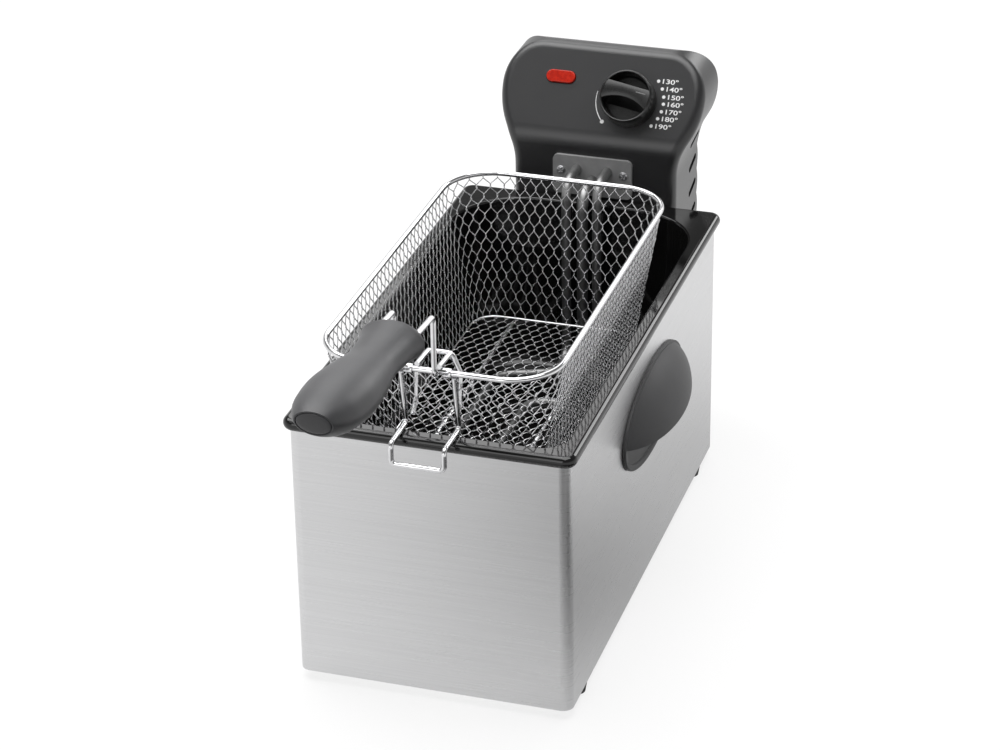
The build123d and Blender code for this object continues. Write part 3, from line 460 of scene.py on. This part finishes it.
def wall_point(column, drop):
    """Point, way along the wall and outward normal, so many columns round and below the rim."""
    along = (column % COLUMNS) / COLUMNS * GIRTH
    for run in RUNS:
        if along <= run[1]:
            break
        along -= run[1]
    inset = drop * tan(TAPER)
    if run[0] == "line":
        _, _, start, way, out = run
        flat = start + way * along - out * inset
    else:
        _, length, centre, radius, begin = run
        angle = begin + along / length * pi / 2
        out = Vector((cos(angle), sin(angle)))
        way = Vector((-out.y, out.x))
        flat = centre + out * (radius - inset)
    point = Vector((flat.x, flat.y, BASKET["top"] - drop))
    normal = Vector((out.x * cos(TAPER), out.y * cos(TAPER), -sin(TAPER)))
    return point, Vector((way.x, way.y, 0)), normal


def twist_place(wire, row):
    """Column of the twist that this wire is in at that row, and the side it comes from."""
    base = wire // 2
    if row % 2:
        return base + 0.5, -1 if wire % 2 == 0 else 1
    return (base, 1) if wire % 2 == 0 else (base + 1, -1)


def net_wall_lines():
    """Wires of the walls: each one zigzags down and twists with its neighbours in turn."""
    lines = []
    twist_drop = TWIST_L * cos(TAPER)
    rows = round((DEPTH - twist_drop) / (ROW_PITCH * cos(TAPER))) + 1
    drop_per_row = (DEPTH - twist_drop) / (rows - 1)
    for wire in range(2 * COLUMNS):
        line = []
        for row in range(rows):
            column, side = twist_place(wire, row)
            for step in range(TWIST_STEPS + 1):
                drop = row * drop_per_row + twist_drop * step / TWIST_STEPS
                turn = 2 * pi * step / TWIST_STEPS
                point, way, normal = wall_point(column, drop)
                beside = abs(abs(point.x) - EYE_X) < EYE_ROOM
                in_front = point.y < BASKET["front"] + EYE_ROOM
                if beside and in_front and drop < EYE_ROOM:
                    continue
                line.append(point + (way * cos(turn) + normal * sin(turn)) * side * NET_WIRE_R)
        lines.append(line)
    return lines


def floor_outline(x, y):
    """True inside the floor's rounded outline."""
    inset = DEPTH * tan(TAPER)
    half_w = BASKET["half_w"] - inset
    front, back = BASKET["front"] + inset, BASKET["back"] - inset
    if abs(x) > half_w or y < front or y > back:
        return False
    for edge, sign, radius in ((front, 1, FRONT_R - inset), (back, -1, BACK_R - inset)):
        dx = abs(x) - (half_w - radius)
        dy = (edge + sign * radius - y) * sign
        if dx > 0 and dy > 0 and dx * dx + dy * dy > radius * radius:
            return False
    return True


def cut_to_floor(line):
    """The stretches of a line that lie on the floor, ended at its outline."""
    kept, current = [], []
    for a, b in zip(line, line[1:]):
        a_in, b_in = floor_outline(a.x, a.y), floor_outline(b.x, b.y)
        if a_in and not current:
            current = [a]
        if a_in != b_in:
            low, high = (a, b) if a_in else (b, a)
            for _ in range(CUT_STEPS):
                middle = (low + high) / 2
                inside = floor_outline(middle.x, middle.y)
                low, high = (middle, high) if inside else (low, middle)
            if a_in:
                kept.append(current + [low])
                current = []
            else:
                current = [low, b]
        elif a_in:
            current.append(b)
    if len(current) > 1:
        kept.append(current)
    return kept


def net_floor_lines():
    """Wires of the floor, twisted as in the walls and cut to its outline."""
    lines = []
    z = BASKET["floor"] - NET_WIRE_R
    half_cells = int(BASKET["half_w"] / CELL_W) + 1
    rows = int((BASKET["back"] - BASKET["front"]) / ROW_PITCH) + 1
    for wire in range(-2 * half_cells, 2 * half_cells):
        line = []
        for row in range(rows):
            column, side = twist_place(wire, row)
            for step in range(TWIST_STEPS + 1):
                turn = 2 * pi * step / TWIST_STEPS
                y = BASKET["front"] + row * ROW_PITCH + TWIST_L * step / TWIST_STEPS
                x = column * CELL_W + side * cos(turn) * NET_WIRE_R
                line.append(Vector((x, y, z + side * sin(turn) * NET_WIRE_R)))
        lines += cut_to_floor(line)
    return lines


def floor_frame_line():
    """Closed outline of the floor, where the walls' wires end."""
    return [wall_point(COLUMNS * i / FRAME_STEPS, DEPTH)[0] for i in range(FRAME_STEPS + 1)]


net_mesh = tubes("basket_net", net_wall_lines() + net_floor_lines(), NET_WIRE_R, NET_SIDES)
net = piece("basket_net", net_mesh, "chrome_wire", "basket")
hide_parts("net_front", "net_rear", "net_right", "net_left", "net_corners", "net_floor")
frame_mesh = tubes("basket_floor_frame", [floor_frame_line()], FRAME_WIRE_R, FRAME_SIDES)
piece("basket_floor_frame", frame_mesh, "chrome_wire", "basket")


# Print on the panel

PANEL_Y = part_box("head_front_shell")[0].y
PANEL = Matrix((
    (1, 0, 0, 0),
    (0, sin(PANEL_TILT), -cos(PANEL_TILT), PANEL_Y),
    (0, cos(PANEL_TILT), sin(PANEL_TILT), CREASE_Z),
    (0, 0, 0, 1),
))


def clock(angle, radius):
    """Place on the panel at an angle clockwise from straight up, round the knob."""
    return KNOB_X + radius * sin(radians(angle)), KNOB_UP + radius * cos(radians(angle))


def flat_mesh(name, outlines, place, base=0.0):
    """Thin raised shapes at a height over a plane, from outlines in its own x and y."""
    verts, faces = [], []
    for outline in outlines:
        start, count = len(verts), len(outline)
        verts += [place @ Vector((x, y, base)) for x, y in outline]
        verts += [place @ Vector((x, y, base + PRINT_PROUD)) for x, y in outline]
        faces.append(tuple(range(start + count - 1, start - 1, -1)))
        faces.append(tuple(range(start + count, start + 2 * count)))
        for i in range(count):
            n = (i + 1) % count
            faces.append((start + i, start + n, start + count + n, start + count + i))
    mesh = bpy.data.meshes.new(name)
    mesh.from_pydata(verts, [], faces)
    return mesh


def disc(centre, radius, sides=20):
    """Outline of a round dot."""
    x, y = centre
    turns = [2 * pi * k / sides for k in range(sides)]
    return [(x + radius * cos(turn), y + radius * sin(turn)) for turn in turns]


def scale_arc():
    """Line that widens from its start to the off dot."""
    outer, inner = [], []
    for i in range(ARC_STEPS + 1):
        share = i / ARC_STEPS
        angle = ARC_START + (OFF_ANGLE - ARC_START) * share
        half = ARC_WIDTH * (ARC_THIN + (1 - ARC_THIN) * share) / 2
        outer.append(clock(angle, SCALE_R + half))
        inner.append(clock(angle, SCALE_R - half))
    return inner + outer[::-1]


dots = [disc(clock(angle, SCALE_R), SCALE_DOT_R) for _, angle in SCALE_MARKS]
dots.append(disc(clock(OFF_ANGLE, SCALE_R), OFF_DOT_R))
for name, outlines in (("scale_dots", dots), ("scale_arc", [scale_arc()])):
    mesh = flat_mesh(name, outlines, PANEL)
    piece(name, mesh, "white_print", "head", smooth=False)


def number(value, angle):
    """One printed temperature beside its dot."""
    text = bpy.data.curves.new(f"scale_{value}", "FONT")
    text.body = f"{value}°"
    text.size = NUMBER_SIZE
    text.align_y = "CENTER"
    text.extrude = PRINT_PROUD / 2
    text.offset = NUMBER_BOLD
    x, y = clock(angle, SCALE_R)
    holder = bpy.data.objects.new("holder", text)
    bpy.context.scene.collection.objects.link(holder)
    bpy.context.view_layer.update()
    graph = bpy.context.evaluated_depsgraph_get()
    mesh = bpy.data.meshes.new_from_object(holder.evaluated_get(graph))
    bpy.data.objects.remove(holder)
    widen = Matrix.Diagonal((NUMBER_WIDEN, 1, 1, 1))
    mesh.transform(PANEL @ Matrix.Translation((x + NUMBER_GAP, y, PRINT_PROUD / 2)) @ widen)
    mesh.materials.clear()
    mesh.name = f"scale_{value}"
    piece(f"scale_{value}", mesh, "white_print", "head", smooth=False)


for value, angle in SCALE_MARKS:
    number(value, angle)


KNOB = PANEL @ Matrix.Translation((KNOB_X, KNOB_UP, 0)) @ Matrix.Rotation(BAR_SLOPE, 4, "Z")


def turned(profile, sides):
    """Vertices and faces of a closed profile of radius and height, turned about its own axis."""
    verts, faces = [Vector((0, 0, profile[0][1]))], []
    rings = profile[1:-1]
    turns = [2 * pi * k / sides for k in range(sides)]
    for radius, height in rings:
        verts += [Vector((radius * cos(t), radius * sin(t), height)) for t in turns]
    last = len(verts)
    verts.append(Vector((0, 0, profile[-1][1])))
    for k in range(sides):
        n = (k + 1) % sides
        faces.append((0, 1 + n, 1 + k))
        for i in range(len(rings) - 1):
            low, high = 1 + i * sides, 1 + (i + 1) * sides
            faces.append((low + k, low + n, high + n, high + k))
        faces.append((last, last - sides + k, last - sides + n))
    return verts, faces


def knob_cup():
    """Round body of the knob with its sunk floor."""
    inner, floor = KNOB_R - KNOB_WALL, KNOB_TOP - KNOB_POCKET
    edge_in, edge_up = KNOB_FOOT_EDGE
    profile = [(0, KNOB_FOOT), (KNOB_R - edge_in, KNOB_FOOT), (KNOB_R, KNOB_FOOT + edge_up)]
    profile += [(KNOB_R - inset * MM, KNOB_TOP - down * MM) for inset, down in KNOB_LIP]
    profile += [(inner - inset * MM, KNOB_TOP - down * MM) for inset, down in KNOB_MOUTH]
    profile += [(inner - inset * MM, floor + up * MM) for inset, up in KNOB_BOWL]
    profile.append((0, floor))
    return turned(profile, KNOB_SIDES)


def knob_bar():
    """Finger bar across the knob, scooped out along its lower side."""
    reach, floor = KNOB_R - KNOB_WALL / 2, KNOB_TOP - KNOB_POCKET - BAR_SUNK
    foot = -BAR_HALF - BAR_FLARE
    out_share, down_share = BAR_HOLLOW
    rings = []
    for i in range(BAR_STEPS + 1):
        share = 2 * i / BAR_STEPS - 1
        edge = -BAR_HALF + BAR_SCOOP * (1 - share * share)
        section = [(BAR_TOP + BAR_FLARE, floor)]
        section += [(BAR_TOP - inset * MM, KNOB_TOP - down * MM) for inset, down in BAR_UPPER_EDGE]
        section += [(edge + inset * MM, KNOB_TOP - down * MM) for inset, down in BAR_LOWER_EDGE]
        section.append((edge + (foot - edge) * out_share, KNOB_TOP - down_share * KNOB_POCKET))
        section.append((foot, floor))
        rings.append([Vector((share * (reach * reach - y * y) ** 0.5, y, z)) for y, z in section])
    return skinned(rings)


def joined(name, shapes, place):
    """One mesh from several closed shapes, moved to their place."""
    verts, faces = [], []
    for more_verts, more_faces in shapes:
        start = len(verts)
        verts += [place @ v for v in more_verts]
        faces += [tuple(start + i for i in face) for face in more_faces]
    mesh = bpy.data.meshes.new(name)
    mesh.from_pydata(verts, [], faces)
    form = bmesh.new()
    form.from_mesh(mesh)
    bmesh.ops.recalc_face_normals(form, faces=form.faces)
    form.to_mesh(mesh)
    form.free()
    return mesh


knob_mesh = joined("knob", [knob_cup(), knob_bar()], KNOB)
knob = piece("knob", knob_mesh, "knob_plastic", "knob")
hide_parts("thermostat_knob")
knob.data.set_sharp_from_angle(angle=EDGE_ANGLE)

near, far = MARK
low, high = MARK_UP - MARK_HALF, MARK_UP + MARK_HALF
mark = [(near, low), (far, low), (far, high), (near, high)]
mark_mesh = flat_mesh("knob_mark", [mark], KNOB, KNOB_TOP - BAR_BELOW)
piece("knob_mark", mark_mesh, "pale_mark", "knob", smooth=False)


# Basket grip

def smooth_run(table, share):
    """Value at a share along a table, on a curve that never overshoots its points."""
    slopes = [(b[1] - a[1]) / (b[0] - a[0]) for a, b in zip(table, table[1:])]
    ends = [slopes[0]]
    for a, b in zip(slopes, slopes[1:]):
        ends.append(2 * a * b / (a + b) if a * b > 0 else 0.0)
    ends.append(slopes[-1])
    for k, (a, b) in enumerate(zip(table, table[1:])):
        if share <= b[0]:
            break
    h = b[0] - a[0]
    t = (share - a[0]) / h
    return (a[1] * (1 + 2 * t) * (1 - t) ** 2 + b[1] * t * t * (3 - 2 * t)
            + ends[k] * h * t * (1 - t) ** 2 - ends[k + 1] * h * t * t * (1 - t))


def grip_ring(share, shrink=0.0, ahead=0.0, sides=56):
    """Oval ring of the grip at a share of its length, drawn in and moved along by so much."""
    width = smooth_run(GRIP_WIDTHS, share) * MM
    height = width * (GRIP_RATIO[0] + (GRIP_RATIO[1] - GRIP_RATIO[0]) * share)
    drop = GRIP_DROP[0] + (GRIP_DROP[1] - GRIP_DROP[0]) * share + GRIP_BOW * 4 * share * (1 - share)
    straight = GRIP_RUN[0] + (GRIP_RUN[1] - GRIP_RUN[0]) * share + ahead
    lean = GRIP_LEAN * max(0.0, (share - GRIP_LEAN_FROM) / (1 - GRIP_LEAN_FROM)) ** 2
    ring = []
    for k in range(sides):
        x = (width / 2 - shrink) * cos(2 * pi * k / sides)
        y = (height / 2 - shrink) * sin(2 * pi * k / sides)
        run = straight + lean * y
        y -= drop
        ring.append(Vector((
            x,
            MIDDLE.y + GRIP_FRONT - run * cos(GRIP_TILT) + y * sin(GRIP_TILT),
            GRIP_Z + run * sin(GRIP_TILT) + y * cos(GRIP_TILT),
        )))
    return ring


def grip_body():
    """Grip from its neck at the wires to its open outer end."""
    rings = [grip_ring(0, inset * MM, ahead * MM) for inset, ahead in GRIP_NECK]
    rings += [grip_ring(i / GRIP_STEPS) for i in range(1, GRIP_STEPS)]
    rings += [grip_ring(1, inset * MM, ahead * MM) for inset, ahead in GRIP_MOUTH]
    return skinned(rings)


def grip_end():
    """Cap in the grip's outer end, set in a fine groove."""
    rings = [grip_ring(1, CAP_SHRINK + inset * MM, ahead * MM) for inset, ahead in CAP_RINGS]
    return skinned(rings)


STILL = Matrix.Identity(4)
grip_mesh = joined("grip", [grip_body()], STILL)
grip = piece("grip", grip_mesh, "grip_plastic", "handle")
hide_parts("handle_grip")
grip.data.set_sharp_from_angle(angle=GRIP_EDGE_ANGLE)
end_mesh = joined("grip_end", [grip_end()], STILL)
end = piece("grip_end", end_mesh, "grip_plastic", "handle")
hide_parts("grip_cap")
end.data.set_sharp_from_angle(angle=GRIP_EDGE_ANGLE)


# Carry handles

def hood_rise(share):
    """How far the hood stands out at a share of the way from its middle to its edge."""
    across = 1 - HOOD_DOME ** 2
    return (max(0.0, 1 - share * share * across) ** 0.5 - HOOD_DOME) / (1 - HOOD_DOME)


def hood_point(along, up, inset):
    """Point of the hood's outer or inner skin from shares along and up its oval."""
    out = (HOOD_REACH - inset) * hood_rise((along * along + up * up) ** 0.5)
    return Vector((out, (HOOD_HALF_L - inset) * along, (HOOD_HALF_H - inset) * up - HOOD_SAG * out))


def hood_lip(along):
    """Share up the oval where the hood ends, on a plane that falls outwards."""
    up = HOOD_LIP / HOOD_HALF_H
    for _ in range(HOOD_LIP_STEPS):
        out = HOOD_REACH * hood_rise((along * along + up * up) ** 0.5)
        up = (HOOD_LIP - HOOD_LIP_FALL * out) / HOOD_HALF_H
    return up


def hood_shell():
    """Hood with an outer and an inner skin, open below."""
    loops = []
    for j in range(HOOD_COLUMNS + 1):
        along = sin(HOOD_END * (2 * j / HOOD_COLUMNS - 1))
        top, lip = (1 - along * along) ** 0.5, hood_lip(along)
        ups = [top + (lip - top) * i / HOOD_ROWS for i in range(HOOD_ROWS + 1)]
        outer = [hood_point(along, up, 0.0) for up in ups]
        inner = [hood_point(along, up, HOOD_WALL) for up in ups]
        edge = (outer[-1] + inner[-1]) / 2 - Vector((0, 0, HOOD_EDGE))
        loops.append(outer + [edge] + inner[::-1])
    return skinned(loops)


def hood_plate():
    """Oval plate on the steel with a raised border."""
    turns = [2 * pi * k / HOOD_PLATE_SIDES for k in range(HOOD_PLATE_SIDES)]
    rings = []
    for inset, out in HOOD_PLATE_RINGS:
        half_l, half_h = HOOD_HALF_L - inset * MM, HOOD_HALF_H - inset * MM
        rings.append([Vector((out * MM, half_l * cos(t), half_h * sin(t))) for t in turns])
    return skinned(rings)


SIDE_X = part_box("outer_casing")[1].x
for node, side in (("right_carry_handle", 1), ("left_carry_handle", -1)):
    mirror = Matrix.Diagonal((side, 1, 1, 1))
    place = mirror @ Matrix.Translation((SIDE_X, MIDDLE.y + HOOD_Y, HOOD_Z))
    mesh = joined(f"{node}_hood", [hood_shell(), hood_plate()], place)
    hood = piece(f"{node}_hood", mesh, "grey_plastic", "housing")
    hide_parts(node)
    hood.data.set_sharp_from_angle(angle=EDGE_ANGLE)


# Screw heads with a cross recess

def screw_heads(name, centres, outward, radius, height):
    """Low domed heads with a cross pressed into them."""
    rings, sides = SCREW_RINGS, SCREW_SIDES
    verts, faces = [], []
    up = outward.normalized()
    side = up.orthogonal().normalized()
    other = up.cross(side)
    for centre in centres:
        start = len(verts)
        verts.append(centre + up * height * (1 - SCREW_CROSS_DEPTH))
        for ring in range(1, rings + 1):
            share = ring / rings
            for k in range(sides):
                angle = 2 * pi * k / sides
                x, y = share * cos(angle), share * sin(angle)
                lift = height * (1 - SCREW_DOME * share ** 3)
                if min(abs(x), abs(y)) < SCREW_CROSS_HALF and share < SCREW_CROSS_REACH:
                    lift -= height * SCREW_CROSS_DEPTH
                verts.append(centre + (side * x + other * y) * radius + up * lift)
        for k in range(sides):
            angle = 2 * pi * k / sides
            verts.append(centre + (side * cos(angle) + other * sin(angle)) * radius)
        for k in range(sides):
            n = (k + 1) % sides
            faces.append((start, start + 1 + k, start + 1 + n))
            for ring in range(rings):
                a = start + 1 + ring * sides
                faces.append((a + k, a + sides + k, a + sides + n, a + n))
    mesh = bpy.data.meshes.new(name)
    mesh.from_pydata(verts, [], faces)
    return mesh


def screw_centres(node, outward):
    """Middle of each screw's rear face, from the solid's own separate parts."""
    mesh = frame["nodes"][node].data
    groups = []
    for vert in mesh.vertices:
        flat = vert.co - outward * vert.co.dot(outward)
        for group in groups:
            if (group[0] - flat).length < SCREW_APART:
                group.append(flat)
                break
        else:
            groups.append([flat])
    low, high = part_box(node)
    back = low if outward.y > 0 else high
    found = []
    for group in groups:
        x, _, z = ((min(axis) + max(axis)) / 2 for axis in zip(*group))
        found.append(Vector((x, back.y, z)))
    return found


for node, way in (("heater_plate_screws", -1), ("rear_cover_screws", 1)):
    outward = Vector((0, way, 0))
    low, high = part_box(node)
    centres = screw_centres(node, outward)
    radius = high.x - max(c.x for c in centres)
    mesh = screw_heads(node, centres, outward, radius, high.y - low.y)
    heads = piece(f"{node}_heads", mesh, "screw_steel", "head")
    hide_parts(node)


# Studio

def white_for_view(tree, lit, shown):
    """Mixes two shaders so that camera, mirror and glass rays see the second one."""
    path = tree.nodes.new("ShaderNodeLightPath")
    total = path.outputs["Is Camera Ray"]
    for ray in ("Is Glossy Ray", "Is Transmission Ray"):
        add = tree.nodes.new("ShaderNodeMath")
        add.operation = "ADD"
        add.use_clamp = True
        tree.links.new(total, add.inputs[0])
        tree.links.new(path.outputs[ray], add.inputs[1])
        total = add.outputs[0]
    mix = tree.nodes.new("ShaderNodeMixShader")
    tree.links.new(total, mix.inputs["Fac"])
    tree.links.new(lit, mix.inputs[1])
    tree.links.new(shown, mix.inputs[2])
    return mix.outputs["Shader"]


def background(tree, strength):
    """Even white light from all round."""
    node = tree.nodes.new("ShaderNodeBackground")
    node.inputs["Color"].default_value = (1.0, 1.0, 1.0, 1.0)
    node.inputs["Strength"].default_value = strength
    return node.outputs["Background"]


def graded_sky(tree):
    """White at the horizon, darker overhead."""
    place = tree.nodes.new("ShaderNodeTexCoord")
    split = tree.nodes.new("ShaderNodeSeparateXYZ")
    tree.links.new(place.outputs["Generated"], split.inputs["Vector"])
    node = tree.nodes.new("ShaderNodeBackground")
    sky = ramp(tree, split.outputs["Z"], (1.0, 1.0, 1.0), (SKY_TOP, SKY_TOP, SKY_TOP), *SKY_BAND)
    tree.links.new(sky, node.inputs["Color"])
    return node.outputs["Background"]


def square(name, half):
    """Flat square mesh about its own middle."""
    mesh = bpy.data.meshes.new(name)
    corners = [(-half, -half, 0), (half, -half, 0), (half, half, 0), (-half, half, 0)]
    mesh.from_pydata(corners, [], [(0, 1, 2, 3)])
    return mesh


def matt(tree, tone):
    """Plain grey without gloss."""
    node = tree.nodes.new("ShaderNodeBsdfDiffuse")
    node.inputs["Color"].default_value = (tone, tone, tone, 1.0)
    return node.outputs["BSDF"]


def softbox(name, place, aim, width, height, watts):
    """Rectangular lamp that faces a point."""
    lamp = bpy.data.lights.new(name, "AREA")
    lamp.shape = "RECTANGLE"
    lamp.size, lamp.size_y = width, height
    lamp.energy = watts
    holder = bpy.data.objects.new(name, lamp)
    bpy.context.scene.collection.objects.link(holder)
    holder.location = place
    holder.rotation_euler = (Vector(aim) - Vector(place)).to_track_quat("-Z", "Y").to_euler()


def painted_shade_card(name, middle, radius, shade):
    """Soft grey card on the floor that only mirrors see: painted shade, darkening the steel's
    reflections of the floor beside the object.
    """
    mesh = square(name, radius)
    card = bpy.data.objects.new(name, mesh)
    bpy.context.scene.collection.objects.link(card)
    card.location = middle
    made = bpy.data.materials.new(name)
    made.use_nodes = True
    tree = made.node_tree
    tree.nodes.clear()
    place = tree.nodes.new("ShaderNodeTexCoord")
    far = tree.nodes.new("ShaderNodeVectorMath")
    far.operation = "LENGTH"
    tree.links.new(place.outputs["Object"], far.inputs[0])
    share = tree.nodes.new("ShaderNodeMapRange")
    share.interpolation_type = "SMOOTHSTEP"
    share.inputs["From Max"].default_value = radius
    share.inputs["To Min"].default_value = shade
    share.inputs["To Max"].default_value = 0.0
    tree.links.new(far.outputs["Value"], share.inputs["Value"])
    blend = tree.nodes.new("ShaderNodeMixShader")
    tree.links.new(share.outputs["Result"], blend.inputs["Fac"])
    clear = tree.nodes.new("ShaderNodeBsdfTransparent")
    tree.links.new(clear.outputs["BSDF"], blend.inputs[1])
    tree.links.new(matt(tree, CARD_TONE), blend.inputs[2])
    out = tree.nodes.new("ShaderNodeOutputMaterial")
    tree.links.new(blend.outputs["Shader"], out.inputs["Surface"])
    mesh.materials.append(made)
    card.visible_camera = False
    card.visible_diffuse = False
    card.visible_shadow = False
    card.visible_transmission = False


world = bpy.data.worlds.new("studio")
world.use_nodes = True
bpy.context.scene.world = world
tree = world.node_tree
tree.nodes.clear()
out = tree.nodes.new("ShaderNodeOutputWorld")
surface = white_for_view(tree, background(tree, SKY_LIT), graded_sky(tree))
tree.links.new(surface, out.inputs["Surface"])

floor_mesh = square("floor", FLOOR_HALF)
floor = bpy.data.objects.new("floor", floor_mesh)
bpy.context.scene.collection.objects.link(floor)
look = bpy.data.materials.new("floor_white")
look.use_nodes = True
tree = look.node_tree
tree.nodes.clear()
glow = tree.nodes.new("ShaderNodeEmission")
glow.inputs["Strength"].default_value = 1.0
blend = tree.nodes.new("ShaderNodeMixShader")
blend.inputs["Fac"].default_value = FLOOR_GLOW
tree.links.new(matt(tree, FLOOR_SHOWN), blend.inputs[1])
tree.links.new(glow.outputs["Emission"], blend.inputs[2])
out = tree.nodes.new("ShaderNodeOutputMaterial")
surface = white_for_view(tree, matt(tree, FLOOR_LIT), blend.outputs["Shader"])
tree.links.new(surface, out.inputs["Surface"])
floor_mesh.materials.append(look)

for lamp in LAMPS:
    softbox(*lamp)
# Painted shade in the steel's reflections: dark cards on the floor that only mirrors see
for name, place, radius, shade in CARDS:
    painted_shade_card(name, MIDDLE + Vector(place), radius, shade)


# Camera

back = Vector((sin(AZIMUTH) * cos(ELEVATION), -cos(AZIMUTH) * cos(ELEVATION), sin(ELEVATION)))
level = (-back).cross(Vector((0, 0, 1))).normalized()
upright = level.cross(-back)
right = level * cos(ROLL) + upright * sin(ROLL)
up = upright * cos(ROLL) - level * sin(ROLL)
place = MIDDLE + Vector((0, 0, AIM_HEIGHT)) + right * AIM_SIDE + back * DISTANCE
lens = bpy.data.cameras.new("camera")
lens.lens = LENS
lens.sensor_width = SENSOR
lens.sensor_fit = "HORIZONTAL"
lens.clip_end = CLIP_END
camera = bpy.data.objects.new("camera", lens)
bpy.context.scene.collection.objects.link(camera)
camera.matrix_world = Matrix((
    (right.x, up.x, back.x, place.x),
    (right.y, up.y, back.y, place.y),
    (right.z, up.z, back.z, place.z),
    (0, 0, 0, 1),
))
bpy.context.scene.camera = camera
bpy.context.scene.view_settings.view_transform = "Standard"
